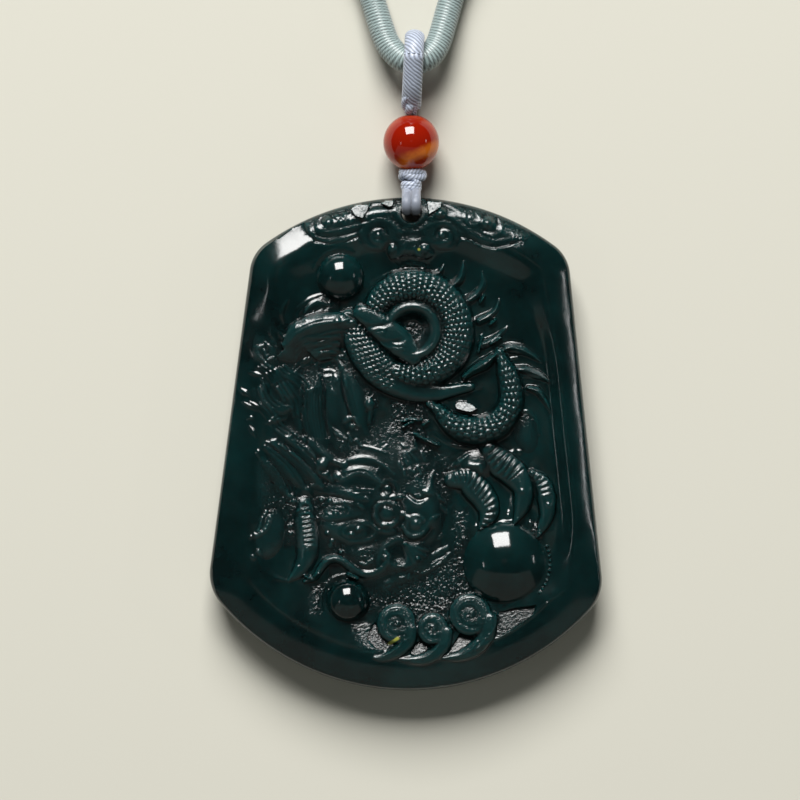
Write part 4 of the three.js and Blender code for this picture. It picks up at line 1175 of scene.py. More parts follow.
def carve_waves(stone):
    """The three wave curls at the foot, with bright ground between them."""
    stone.tallest_line = 0.2
    # bright brushed ground between the curls
    for patch, slope in [
        ([(-4.44, -20.76), (-4.12, -19.9), (-3.58, -19.05), (-3.16, -20.01), (-2.62, -20.76),
            (-1.87, -21.4), (-2.41, -22.04), (-3.48, -21.83)], 0.21),
        ([(0.16, -22.36), (0.8, -21.29), (1.66, -20.76), (2.41, -20.97), (2.09, -21.93), (1.12, -22.68)],
            0.31),
        ([(4.23, -22.26), (5.08, -20.97), (5.62, -20.12), (7.01, -20.12), (6.58, -21.19), (5.62, -22.04)],
            0.33),
        ([(9.26, -19.05), (9.68, -17.98), (11.29, -17.55), (13.64, -17.23), (13.21, -18.19),
            (10.86, -19.79), (9.36, -20.65)], 0.21),
    ]:
        stone.facet(patch, slope, 99, 4.88)
    for centre, radius in [((-1.28, -19.15), 2.15), ((2.57, -19.69), 1.75), ((6.58, -18.19), 2.3)]:
        stone.boss(centre, radius, 0.8, top=curl_top)
        for part, first, last in [(0.8, 70, 170), (0.66, 80, 160)]:
            stone.line(arc(centre, radius * part, first, last), 0.13, 0.1)
        stone.line(spiral(centre, radius * 0.62, 0.15, -60, -1.3), 0.3, -0.06)
        stone.roughen(stone.near(np.array([centre]), 0.3), 0.05, 61)
    for path, half in [
        ([(0.27, -19.69), (0.05, -20.76), (-0.91, -21.93), (-2.62, -22.79), (-3.69, -22.79)],
            (0.8, 0.85, 0.75, 0.5, 0.12)),
        ([(4.12, -20.01), (3.8, -21.29), (2.84, -22.36), (1.23, -23), (-1.34, -22.95)],
            (0.7, 0.8, 0.75, 0.5, 0.12)),
        ([(8.61, -18.72), (8.29, -20.33), (7.22, -21.72), (5.51, -22.58), (3.16, -22.95)],
            (0.9, 0.95, 0.85, 0.55, 0.12)),
    ]:
        stone.ridge(path, half, (0.85, 0.75, 0.65, 0.45, 0.25), top=flat_top)
    stone.lines([
        [(-0.48, -20.97), (-1.34, -21.83), (-2.41, -22.47), (-3.69, -22.79)],
        [(3.37, -20.97), (2.73, -22.04), (1.66, -22.79), (-0.27, -23)],
        [(7.33, -21.08), (6.58, -22.04), (5.3, -22.58), (3.16, -22.9)],
        [(9.58, -18.4), (9.15, -19.69), (8.29, -20.76), (7.22, -21.83)],
        [(7.22, -21.83), (8.93, -20.97), (10.86, -20.01), (13, -18.51), (14.82, -16.91)],
    ], 0.18, 0.1)


def carve_ground(stone):
    """The punched ground between the forms."""
    for patch, depth, seed in [
        ([(-4.98, -15.84), (-2.84, -14.12), (0.37, -13.91), (4.01, -11.77), (7.01, -10.49), (7.44, -16.05),
            (5.3, -17.76), (4.01, -18.83), (0.8, -19.05), (-1.34, -17.76), (-4.76, -18.4)], 0.055, 31),
        ([(-6.9, -18.62), (-3.91, -18.19), (-1.98, -20.97), (-2.19, -23.33), (-5.4, -22.68)], 0.04, 30),
        ([(-5.4, 6.42), (-2.84, 6.21), (-2.19, 3.21), (-5.19, 3)], 0.05, 32),
        ([(-2.62, 5.35), (2.73, 5.14), (2.09, 0.43), (-2.84, 0.43)], 0.03, 33),
        ([(4.01, -5.99), (6.79, -6.42), (7.44, -12.2), (4.01, -12.63)], 0.05, 34),
        ([(-16.75, -1.28), (-14.18, -0.64), (-12.04, -3.64), (-10.54, -7.28), (-16.53, -8.13)], 0.032, 35),
        ([(-14.18, -4.92), (-10.75, -4.92), (-11.18, -11.56), (-13.96, -11.56)], 0.04, 36),
        ([(-11.18, -14.34), (-8.4, -14.34), (-8.83, -18.62), (-10.97, -18.62)], 0.04, 37),
        ([(-9.04, -12.41), (-6.26, -12.63), (-6.47, -15.19), (-9.26, -15.41)], 0.05, 38),
        ([(2.94, -2.14), (5.08, -2.14), (5.08, -6.63), (2.94, -6.63)], 0.045, 39),
        ([(-8.4, 1.5), (-4.76, 1.5), (-5.62, -1.71), (-8.4, -1.71)], 0.04, 40),
        ([(-15.68, 11.77), (-12.25, 11.77), (-12.89, 7.7), (-16.32, 7.7)], 0.035, 41),
        ([(12.57, -7.49), (15.03, -7.49), (15.03, -10.91), (12.57, -10.91)], 0.045, 43),
        ([(-6.26, -10.7), (-2.84, -10.7), (-3.05, -13.7), (-6.05, -13.7)], 0.05, 44),
    ]:
        stone.stipple(patch, depth, seed)
    # specks on the head itself
    for patch, seed in [
        ([(-1.77, 0.86), (1.66, 0.64), (5.08, -0.86), (5.3, -7.06), (2.73, -6.63), (1.66, -4.28),
            (-1.34, -4.07)], 71),
        ([(-2.62, -11.98), (1.66, -11.13), (4.65, -9.2), (5.3, -12.41), (2.94, -14.98), (-1.77, -16.26)],
            73),
        ([(-8.83, 1.5), (-4.55, 1.07), (-4.76, -1.28), (-7.76, -1.93)], 75),
        ([(-9.68, -8.77), (-6.9, -10.06), (-3.05, -10.7), (-3.05, -13.48), (-9.26, -11.98)], 77),
        ([(-8.83, -4.49), (-5.62, -4.49), (-5.19, -6.85), (-8.83, -7.06)], 79),
        ([(-1.12, 3.85), (2.51, 3.64), (4.01, -0.64), (-0.91, -0.64)], 85),
    ]:
        stone.stipple(patch, 0.03, seed, 1.6, 1.0)


def carve_all(stone):
    """Everything on the face, from the broad forms to the polished pearls."""
    carve_masses(stone)
    carve_mane(stone)
    carve_coil(stone)
    carve_body_strip(stone)
    carve_tail(stone)
    carve_head(stone)
    carve_claws(stone)
    carve_waves(stone)
    carve_top_scrolls(stone)
    carve_ground(stone)
    stone.soften(1)
    carve_pearls(stone)


def plaque_mesh():
    """The carved plaque: a grid over its face, rings round its edge and a flat back."""
    counts = (STEPS_ACROSS, STEPS_UP, STEPS_ACROSS, STEPS_UP)
    points, normals = outline(counts)
    inner = points - EDGE_INSET * normals
    around = len(points)
    corners = np.cumsum((0,) + counts)
    bottom, right, top, left = [np.take(inner, range(a, b + 1), axis=0, mode="wrap")
                                for a, b in zip(corners, corners[1:])]
    top, left = top[::-1], left[::-1]
    u = np.linspace(0, 1, STEPS_ACROSS + 1)[None, :, None]
    v = np.linspace(0, 1, STEPS_UP + 1)[:, None, None]
    face = (1 - v) * bottom[None] + v * top[None] + (1 - u) * left[:, None] + u * right[:, None]
    face -= (1 - v) * ((1 - u) * bottom[0] + u * bottom[-1]) + v * ((1 - u) * top[0] + u * top[-1])
    x, y = face.reshape(-1, 2).T
    stone = Carving(x, y)
    carve_all(stone)

    # the back's rounded edge, then the side's curve up to the face
    turn = np.linspace(0, math.pi / 2, 6)
    profile = list(zip(BACK_ROUND * (1 - np.sin(turn)), BACK_ROUND * (1 - np.cos(turn))))
    t = np.linspace(0, 1, 5)[:-1, None]
    ends = np.array(EDGE_CURVE)
    edge = (1 - t) ** 3 * ends[0] + 3 * t * (1 - t) ** 2 * ends[1]
    edge += 3 * t**2 * (1 - t) * ends[2] + t**3 * ends[3]
    profile += edge.tolist()
    rings = [np.column_stack([points - inset * normals, np.full(around, z)]) for inset, z in profile]
    vertices = np.vstack(rings + [np.column_stack([x, y, stone.z])])

    start = len(profile) * around
    index = start + np.arange((STEPS_UP + 1) * (STEPS_ACROSS + 1)).reshape(STEPS_UP + 1, STEPS_ACROSS + 1)
    cells = np.stack([index[:-1, :-1], index[:-1, 1:], index[1:, 1:], index[1:, :-1]], axis=2)
    faces = cells.reshape(-1, 4).tolist()
    loops = [list(range(i * around, (i + 1) * around)) for i in range(len(profile))]
    loops.append([*index[0, :-1], *index[:-1, -1], *index[-1, :0:-1], *index[:0:-1, 0]])
    for low, high in zip(loops, loops[1:]):
        for i in range(around):
            j = (i + 1) % around
            faces.append((low[i], low[j], high[j], high[i]))
    faces.append(loops[0][::-1])
    mesh = mesh_from("jade_plaque", vertices, faces)
    # how far each point lies below its blurred surroundings, for the jade's painted shade in hollows and
    # painted light on ridges
    hollow = stone.blurred(120) - stone.z
    for name, on_edge, on_face in [("polish", 1.0, stone.polish), ("hollow", 0.0, hollow)]:
        values = np.concatenate([np.full(start, on_edge), on_face])
        mesh.attributes.new(name, "FLOAT", "POINT").data.foreach_set("value", values)
    return mesh


def drill_and_thin(mesh):
    """The same mesh with the hanger's hole through it, thinned where the carving is plain."""
    points, faces = lathe(DRILL, 48, False)
    cutter = placed("drill", mesh_from("drill", points + (*HOLE, 0.0), faces))
    stone = placed("stone", mesh)
    cut = stone.modifiers.new("Hole", "BOOLEAN")
    cut.operation = "DIFFERENCE"
    cut.solver = "MANIFOLD"
    cut.object = cutter
    mesh.calc_loop_triangles()
    thin = stone.modifiers.new("Thin", "DECIMATE")
    thin.ratio = PLAQUE_TRIANGLES / len(mesh.loop_triangles)
    shown = stone.evaluated_get(bpy.context.evaluated_depsgraph_get())
    drilled = bpy.data.meshes.new_from_object(shown)
    for thing in (cutter, stone):
        bpy.data.objects.remove(thing)
    drilled.set_sharp_from_angle(angle=math.radians(CREASE))
    return drilled


def both_ways(operation):
    """An operator of Value and its reflected form, by a Math node's operation."""
    def plain(self, other):
        return self.math(operation, self, other)

    def reflected(self, other):
        return self.math(operation, other, self)

    return plain, reflected


class Value:
    """A node's output in an expression: arithmetic on it adds Math nodes to its tree."""

    def __init__(self, graph, socket):
        self.graph = graph
        self.socket = socket

    def math(self, operation, *terms):
        """A Math node on these terms."""
        return self.graph.add("ShaderNodeMath", {"operation": operation}, dict(enumerate(terms)))

    __add__, __radd__ = both_ways("ADD")
    __sub__, __rsub__ = both_ways("SUBTRACT")
    __mul__, __rmul__ = both_ways("MULTIPLY")
    __truediv__, __rtruediv__ = both_ways("DIVIDE")
    __pow__, __rpow__ = both_ways("POWER")

    def apply(self, operation):
        """A function of this value alone, such as ABSOLUTE or COSINE."""
        return self.math(operation, self)


class Graph:
    """A node tree that is written as expressions."""

    def __init__(self, tree):
        self.tree = tree

    def add(self, kind, settings=None, sockets=None, output=0):
        """Adds a node: its settings first, then values or links for its sockets."""
        node = self.tree.nodes.new(kind)
        for name, value in (settings or {}).items():
            if name == "captures":
                for label, form in value:
                    node.capture_items.new(form, label)
            else:
                setattr(node, name, value)
        for key, value in (sockets or {}).items():
            self.feed(node.inputs[key], value)
        return Value(self, node.outputs[output])

    def feed(self, socket, value):
        """Links an expression to a socket, or sets its plain value."""
        if isinstance(value, Value):
            self.tree.links.new(value.socket, socket)
        else:
            socket.default_value = value

    def mix(self, factor, first, second):
        """Blends two colours."""
        return self.add("ShaderNodeMix", {"data_type": "RGBA"}, {0: factor, 6: first, 7: second}, 2)

    def place(self):
        """The place on the piece, in metres."""
        return self.add("ShaderNodeTexCoord", {}, {}, "Object")

    def across_and_up(self):
        """The place's x and y in millimetres."""
        return [self.add("ShaderNodeSeparateXYZ", {}, {0: self.place()}, axis) / MM for axis in "XY"]

    def attribute(self, name):
        """A value that the mesh holds at each point."""
        return self.add("ShaderNodeAttribute", {"attribute_name": name}, {}, "Fac")

    def noise(self, coordinates, scale, detail=2.0, roughness=0.5):
        """Cloudy values round a half."""
        sockets = {"Vector": coordinates, "Scale": scale, "Detail": detail, "Roughness": roughness}
        return self.add("ShaderNodeTexNoise", {}, sockets)

    def fade(self, value, low, high):
        """0 below low, 1 above high, smooth between."""
        sockets = {0: value, 1: low, 2: high}
        return self.add("ShaderNodeMapRange", {"interpolation_type": "SMOOTHSTEP"}, sockets)


def new_material(name):
    """A material with only its Principled shader, and the graph to feed it."""
    material = bpy.data.materials.new(name)
    material.use_nodes = True
    return material, Graph(material.node_tree)


def finished(material, graph, sockets):
    """The material, with values or links for its shader's sockets."""
    shader = material.node_tree.nodes["Principled BSDF"]
    for name, value in sockets.items():
        graph.feed(shader.inputs[name], value)
    return material


def silk_material(name, thread, gap, sheen):
    """Lustrous thread: pale crowns, painted shade in the gaps between the turns and fine fibres."""
    material, graph = new_material(name)
    groove = graph.attribute("groove")
    place = graph.place()
    fibres = graph.noise(place, 9000.0, 3.0, 0.6)
    patches = graph.noise(place, 420.0, 2.0)
    crown = graph.fade(groove + 0.25 * (fibres - 0.5), 0.1, 0.85)
    # the gap colour is painted shade in the grooves between the turns
    shade = graph.mix(crown, (*gap, 1), (*thread, 1))
    shade = graph.mix(0.35 * patches, shade, (*[c * 0.72 for c in thread], 1))
    bump = graph.add("ShaderNodeBump", {}, {"Strength": 0.25, "Distance": 0.00004, "Height": fibres})
    return finished(material, graph, {
        "Base Color": shade,
        "Roughness": 0.5 - 0.18 * crown,
        "Normal": bump,
        "Specular IOR Level": 0.55,
        "Sheen Weight": sheen,
    })


def jade_material(settings):
    """Polished blue-green jade, nearly black, with soft clouds, two yellow flecks, painted shade in its
    carved hollows and painted light on its carved ridges.
    """
    material, graph = new_material("Dark jade")
    place = graph.place()
    x, y = graph.across_and_up()
    clouds = graph.fade(graph.noise(place, 130.0, 4.0, 0.6), 0.3, 0.7)
    grain = graph.noise(place, 1500.0, 3.0, 0.6)
    deep = tuple(c * 0.55 for c in settings.jade)
    pale = tuple(c * 1.6 for c in settings.jade)
    body = graph.mix(clouds, (*deep, 1), (*pale, 1))
    polish = graph.attribute("polish")
    hollow = graph.attribute("hollow")
    # where carved: painted light on the ridges and painted shade in the hollows, by how far each point lies
    # below its blurred surroundings
    painted_ridge_light = tuple(1.4 * c for c in settings.carved)
    painted_hollow_shade = tuple(0.35 * c for c in settings.carved)
    carved = graph.mix(graph.fade(hollow, -0.12, 0.08), (*painted_ridge_light, 1), (*painted_hollow_shade, 1))
    body = graph.mix(0.85 - 0.85 * graph.fade(polish, 0.76, 0.9), body, carved)
    from_x, from_y = x - STREAK[0], y - STREAK[1]
    along = from_x * STREAK_WAY[0] + from_y * STREAK_WAY[1]
    across = (from_y * STREAK_WAY[0] - from_x * STREAK_WAY[1]).apply("ABSOLUTE") + 0.14 * (grain - 0.5)
    streak = (1 - graph.fade(across, 0.1, 0.24)) * graph.fade(along, -0.1, 0.25)
    streak = streak * (1 - graph.fade(along, 1.2, 1.6))
    speck_gap = ((x - SPECK[0]) ** 2 + (y - SPECK[1]) ** 2).apply("SQRT")
    speck = 1 - graph.fade(speck_gap, 0.08, 0.22)
    flecks = streak + speck
    body = graph.mix(flecks.math("MINIMUM", flecks, 1.0), body, (*settings.fleck, 1))
    wear = graph.fade(graph.noise(place, 420.0, 3.0), 0.35, 0.75)
    punched = 1 - graph.fade(polish, 0.69, 0.75)
    brushed = graph.noise(place, 6500.0, 2.0) * (1 - graph.fade(polish, 0.78, 0.9))
    sparkle = graph.noise(place, 7400.0, 1.0) * punched
    glints = graph.fade(graph.noise(place, 4600.0, 1.0), 0.57, 0.65) * (1 - graph.fade(polish, 0.78, 0.88))
    height = grain + 2.0 * graph.noise(place, 520.0, 2.0) + 1.6 * brushed + 54.0 * sparkle + 7.0 * glints
    bump = graph.add("ShaderNodeBump", {}, {"Strength": 0.2, "Distance": 0.00003, "Height": height})
    return finished(material, graph, {
        "Base Color": body,
        "Roughness": 0.5 - 0.43 * polish + 0.08 * wear - 0.1 * punched,
        "Normal": bump,
        "IOR": 1.56,
        "Subsurface Weight": 1.0,
        "Subsurface Radius": (0.35, 0.8, 0.8),
        "Subsurface Scale": MM,
    })


def agate_material(settings):
    """Red agate: clear deep red, polished, with painted light: an orange glow through it low on the right
    with cloudy edges, a lighter edge and a faint glow of its own.
    """
    material, graph = new_material("Red agate")
    place = graph.place()
    x, y = graph.across_and_up()
    u = (x - BEAD_CENTRE[0]) / BEAD_RADIUS
    v = (y - BEAD_CENTRE[1]) / BEAD_RADIUS
    cloud = graph.noise(place, 420.0, 3.0, 0.6)
    # painted glow of light through the bead, low on the right, away from the key light
    band = (v + 0.58 - 0.42 * u).apply("ABSOLUTE") + 0.5 * (cloud - 0.5)
    glow = (1 - graph.fade(band, 0.02, 0.36)) * graph.fade(u, -0.65, 0.0)
    # painted lighter edge near the bead's outline seen from above
    rim = graph.fade((u * u + v * v).apply("SQRT"), 0.72, 1.0)
    body = graph.mix(0.35 * rim, (*settings.agate_red, 1), (0.42, 0.07, 0.02, 1))
    body = graph.mix(glow, body, (*settings.agate_painted_glow, 1))
    return finished(material, graph, {
        "Base Color": body,
        # painted glow: the bead shines its own colour though it is no lamp
        "Emission Color": body,
        "Emission Strength": 0.2,
        "Roughness": 0.05,
        "IOR": 1.54,
    })


def colour_setting(name, description, default):
    """A colour among the settings."""
    return bpy.props.FloatVectorProperty(
        name=name, description=description, subtype="COLOR", default=default)


def length_setting(name, description, default):
    """A length among the settings, in metres."""
    return bpy.props.FloatProperty(name=name, description=description, unit="LENGTH", default=default)


class PlaqueSettings(bpy.types.PropertyGroup):
    """The jade plaque."""

    jade: colour_setting("Jade", "Colour of the stone", (0.0016, 0.0113, 0.0114))
    carved: colour_setting("Carved jade", "Colour of the stone where it is carved", (0.0023, 0.0185, 0.019))
    fleck: colour_setting("Fleck", "Colour of the stone's flecks", (0.33, 0.34, 0.06))


class HangerSettings(bpy.types.PropertyGroup):
    """The bead and the tied cord that hold the plaque."""

    agate_red: colour_setting("Agate red", "Colour of the bead's clear part", (0.2, 0.006, 0.0006))
    # the orange is the painted glow of light through the bead
    agate_painted_glow: colour_setting("Agate orange", "Colour of the bead's clouded part", (0.5, 0.12, 0.008))
    thread: colour_setting("Hanger thread", "Colour of the hanger's silk", (0.5, 0.56, 0.69))


class NeckCordSettings(bpy.types.PropertyGroup):
    """The neck cord."""

    diameter: length_setting("Diameter", "Thickness of the wound cord", 0.0028)
    winding: length_setting("Winding", "Distance between two turns of the thread", 0.00034)
    thread: colour_setting("Thread", "Colour of the neck cord's silk", (0.36, 0.46, 0.455))


class StageSettings(bpy.types.PropertyGroup):
    """The floor, the lights and the camera."""

    floor: colour_setting("Floor", "Colour of the floor", (0.617, 0.606, 0.534))
    camera_distance: length_setting("Camera distance", "Height of the camera over the plaque", 0.6)
    frame_width: length_setting("Frame width", "Width of the picture at the plaque", 0.0852)


def wound_cord_tree():
    """Geometry nodes: a tube along a route, grooved by the turns of its thread."""
    tree = bpy.data.node_groups.new("Thread wound cord", "GeometryNodeTree")
    inputs = [
        ("Route", "NodeSocketGeometry"), ("Width", "NodeSocketFloat"), ("Thickness", "NodeSocketFloat"),
        ("Sides", "NodeSocketInt"), ("Winding", "NodeSocketFloat"), ("Starts", "NodeSocketInt"),
        ("Depth", "NodeSocketFloat"), ("Material", "NodeSocketMaterial"),
    ]
    for label, form in inputs:
        tree.interface.new_socket(name=label, in_out="INPUT", socket_type=form)
    tree.interface.new_socket(name="Cord", in_out="OUTPUT", socket_type="NodeSocketGeometry")
    graph = Graph(tree)
    source = tree.nodes.new("NodeGroupInput")
    given = {label: Value(graph, source.outputs[label]) for label, _ in inputs}
    circle = graph.add("GeometryNodeCurvePrimitiveCircle", {"mode": "RADIUS"},
                       {"Resolution": given["Sides"], "Radius": 0.5})
    size = graph.add("ShaderNodeCombineXYZ", {}, {0: given["Width"], 1: given["Thickness"], 2: 1.0})
    profile = graph.add("GeometryNodeTransform", {}, {"Geometry": circle, "Scale": size})
    around = graph.add("GeometryNodeSplineParameter", {}, {}, "Factor")
    held_profile = graph.add("GeometryNodeCaptureAttribute", {"captures": [("Around", "FLOAT")]},
                             {"Geometry": profile, "Around": around})
    turn = Value(graph, held_profile.socket.node.outputs["Around"])
    length = graph.add("GeometryNodeSplineParameter", {}, {}, "Length")
    position = graph.add("GeometryNodeInputPosition")
    captures = [("Length", "FLOAT"), ("Centre", "VECTOR")]
    held_route = graph.add("GeometryNodeCaptureAttribute", {"captures": captures},
                           {"Geometry": given["Route"], "Length": length, "Centre": position})
    along = Value(graph, held_route.socket.node.outputs["Length"])
    centre = Value(graph, held_route.socket.node.outputs["Centre"])
    tube = graph.add("GeometryNodeCurveToMesh", {},
                     {"Curve": held_route, "Profile Curve": held_profile, "Fill Caps": True})
    wander = graph.noise(position, 900.0, 2.0)
    phase = along / given["Winding"] + given["Starts"] * turn + 0.7 * wander
    crown = 0.5 + 0.5 * (phase * math.tau).apply("COSINE")
    shrink = 1 - given["Depth"] * (1 - crown)
    here = graph.add("GeometryNodeInputPosition")
    radial = graph.add("ShaderNodeVectorMath", {"operation": "SUBTRACT"}, {0: here, 1: centre})
    radial = graph.add("ShaderNodeVectorMath", {"operation": "SCALE"}, {0: radial, "Scale": shrink})
    place = graph.add("ShaderNodeVectorMath", {"operation": "ADD"}, {0: centre, 1: radial})
    grooved = graph.add("GeometryNodeSetPosition", {}, {"Geometry": tube, "Position": place})
    stored = graph.add("GeometryNodeStoreNamedAttribute", {"data_type": "FLOAT", "domain": "POINT"},
                       {"Geometry": grooved, "Name": "groove", "Value": crown})
    smooth = graph.add("GeometryNodeSetShadeSmooth", {}, {"Geometry": stored})
    real = graph.add("GeometryNodeRealizeInstances", {}, {"Geometry": smooth})
    painted = graph.add("GeometryNodeSetMaterial", {}, {"Geometry": real, "Material": given["Material"]})
    target = tree.nodes.new("NodeGroupOutput")
    graph.feed(target.inputs["Cord"], painted)
    return tree


def wound_cord(tree, points, **sizes):
    """A plain mesh of thread wound cord along points in millimetres; sizes are the tree's inputs."""
    curve = bpy.data.curves.new("route", "CURVE")
    curve.dimensions = "3D"
    curve.twist_mode = "MINIMUM"
    spline = curve.splines.new("POLY")
    spline.points.add(len(points) - 1)
    corners = np.hstack([np.asarray(points) * MM, np.ones((len(points), 1))])
    spline.points.foreach_set("co", corners.ravel())
    holder = placed("route", curve)
    modifier = holder.modifiers.new("Wound cord", "NODES")
    modifier.node_group = tree
    sockets = {item.name: item.identifier for item in tree.interface.items_tree if item.in_out == "INPUT"}
    for name, value in sizes.items():
        modifier[sockets[name]] = value
    shown = holder.evaluated_get(bpy.context.evaluated_depsgraph_get())
    mesh = bpy.data.meshes.new_from_object(shown)
    holder.modifiers.remove(modifier)
    bpy.data.objects.remove(holder)
    bpy.data.curves.remove(curve)
    return mesh


def joined(name, meshes):
    """One mesh from several cords, with their grooves."""
    vertices, faces, grooves = [], [], []
    for mesh in meshes:
        start = len(vertices)
        vertices += [vertex.co / MM for vertex in mesh.vertices]
        faces += [[start + i for i in face.vertices] for face in mesh.polygons]
        grooves += [item.value for item in mesh.attributes["groove"].data]
    made = mesh_from(name, vertices, faces)
    made.attributes.new("groove", "FLOAT", "POINT").data.foreach_set("value", grooves)
    return made


def bail_route():
    """The bail's loop: up behind the neck cord, over it and down in front."""
    y, z, radius = BAIL_ARC
    angle = np.radians(np.linspace(-90, 90, 25))
    over = np.stack([y + radius * np.cos(angle), z + radius * np.sin(angle)], axis=1)
    route = [(BAIL_FOOT, 3.0), (BAIL_FOOT + 1.5, 1.7), *over, (BAIL_FOOT + 2.0, 4.9), (BAIL_FOOT, 3.4)]
    return smooth_path([(HOLE[0] + BAIL_DRIFT * (a - BAIL_FOOT), a, b) for a, b in route])


def strand_route(side):
    """One of the two strands from the lower knot through the plaque's hole and back."""
    return smooth_path([(HOLE[0] + side * STRAND_SPREAD / 2, y, z) for y, z in STRAND_ROUTE])


def lower_knot_route():
    """Two tight turns round the strands."""
    turn = np.linspace(0, LOWER_KNOT_TURNS, 60)
    angle = turn * math.tau
    x, y, z = LOWER_KNOT
    rise = 0.3 * (turn - LOWER_KNOT_TURNS / 2)
    return np.stack([x + 0.72 * np.cos(angle), y + rise, z + 0.7 * np.sin(angle)], axis=1)


def upper_knot_route():
    """A flat figure of eight pulled tight, its right lobe the bigger one."""
    loops = [
        (-0.5, -0.3, -0.5), (-1.0, -0.2, 0.0), (-0.75, 0.05, 0.6), (0.0, 0.22, 0.8), (0.8, 0.25, 0.55),
        (1.2, 0.0, 0.05), (0.8, -0.28, -0.5), (0.0, 0.0, -0.75), (-0.8, 0.3, -0.35), (-0.9, 0.28, 0.35),
        (-0.2, -0.15, 0.85), (0.7, -0.3, 0.75), (1.25, -0.2, 0.4), (1.2, 0.22, 0.1), (0.6, 0.3, -0.3),
    ]
    return smooth_path(np.asarray(loops) * (0.95, 1.05, 1.0) + UPPER_KNOT)


class PENDANT_OT_plaque(bpy.types.Operator):
    """Carves the jade plaque"""

    bl_idname = "pendant.plaque"
    bl_label = "Jade plaque"

    def execute(self, context):
        jade = jade_material(context.scene.pendant_plaque)
        piece_from("jade_plaque_carved", drill_and_thin(plaque_mesh()), jade, "jade", "jade_plaque")
        return {"FINISHED"}


class PENDANT_OT_bead(bpy.types.Operator):
    """Turns the agate bead"""

    bl_idname = "pendant.bead"
    bl_label = "Agate bead"

    def execute(self, context):
        edge = math.asin(BEAD_BORE / BEAD_RADIUS)
        polar = np.linspace(edge, math.pi - edge, 48)
        outside = [(BEAD_RADIUS * math.sin(a), -BEAD_RADIUS * math.cos(a)) for a in polar]
        reach = BEAD_RADIUS * math.cos(edge)
        bore = [(BEAD_BORE, h) for h in np.linspace(reach, -reach, 8)[1:-1]]
        points, faces = lathe(outside + bore, 72, True)
        turned = np.column_stack([points[:, 1], points[:, 2], points[:, 0]]) + BEAD_CENTRE
        agate = agate_material(context.scene.pendant_hanger)
        mesh = mesh_from("agate_bead", turned, faces)
        piece_from("agate_bead_turned", mesh, agate, "agate", "agate_bead")
        return {"FINISHED"}


class PENDANT_OT_hanger(bpy.types.Operator):
    """Ties the silk hanger: bail, knots and the strands through the plaque"""

    bl_idname = "pendant.hanger"
    bl_label = "Silk hanger"

    def execute(self, context):
        thread = context.scene.pendant_hanger.thread
        # the gap colour, 0.3 of the thread's, is painted shade between the turns
        silk = silk_material("Hanger silk", thread, [c * 0.3 for c in thread], 0.25)
        tree = wound_cord_tree()
        foot = BAIL_FOOT
        # Route, width, thickness, distance between turns, threads wound side by side, depth
        cords = [
            (bail_route(), 2.15, 1.6, 0.41, 10, 0.09),
            (strand_route(-1), 1.02, 0.8, 90.0, 0, 0.0),
            (strand_route(1), 1.02, 0.8, 90.0, 0, 0.0),
            (lower_knot_route(), 0.85, 0.85, 0.3, 4, 0.1),
            (upper_knot_route(), 0.92, 0.92, 0.3, 4, 0.1),
            (np.asarray(STEM), 1.2, 1.2, 0.3, 3, 0.08),
            (smooth_path([(0.2, foot - 0.6, 3.3), (-0.35, foot - 0.1, 3.9), (-0.45, foot + 0.5, 4.4),
                          (-0.1, foot + 0.9, 4.7), (0.3, foot + 0.8, 4.6)]), 0.62, 0.62, 0.3, 4, 0.1),
            (smooth_path([(0.0, foot - 0.7, 3.7), (0.1, foot - 0.2, 4.2), (0.15, foot + 0.35, 4.2)]),
             0.9, 0.6, 0.3, 4, 0.1),
            (smooth_path([(0.55, foot - 0.7, 3.4), (0.75, foot, 3.9), (0.85, foot + 0.7, 4.4)]),
             0.7, 0.7, 0.3, 4, 0.1),
        ]
        meshes = []
        for route, width, thickness, winding, starts, depth in cords:
            meshes.append(wound_cord(
                tree, evenly(route, 0.09), Width=width * MM, Thickness=thickness * MM, Sides=56,
                Winding=winding * MM, Starts=starts, Depth=depth, Material=silk))
        piece_from("hanger_tied", joined("hanger", meshes), silk, "hanger_silk", "hanger_cord")
        return {"FINISHED"}


def tie_route():
    """The thread that holds the coil: turns round all its cords, where they are lifted for it."""
    reach = NECK_CORD_RADIUS + TIE_THREAD / 2
    low, high = TIE_THREAD / 2 + 0.01, COIL_HIGH + TIE_LIFT + reach
    pitch = (COIL_OUTER - COIL_INNER) / COIL_SPIRAL_TURNS
    outermost = COIL_OUTER - pitch * (TIE_ANGLE - COIL_START) / 360
    inner, outer = outermost - pitch * int(COIL_SPIRAL_TURNS) - reach, outermost + reach
    turns = np.linspace(0, TIE_TURNS, TIE_TURNS * 96)
    cosine, sine = np.cos(turns * math.tau), np.sin(turns * math.tau)
    out = np.sign(cosine) * np.abs(cosine) ** TIE_SQUARE
    up = np.sign(sine) * np.abs(sine) ** TIE_SQUARE
    x = COIL_CENTRE[0] + TIE_THREAD * (turns - TIE_TURNS / 2)
    y = COIL_CENTRE[1] + (inner + outer) / 2 + out * (outer - inner) / 2
    z = (low + high) / 2 + up * (high - low) / 2
    return np.stack([x, y, z], axis=1)


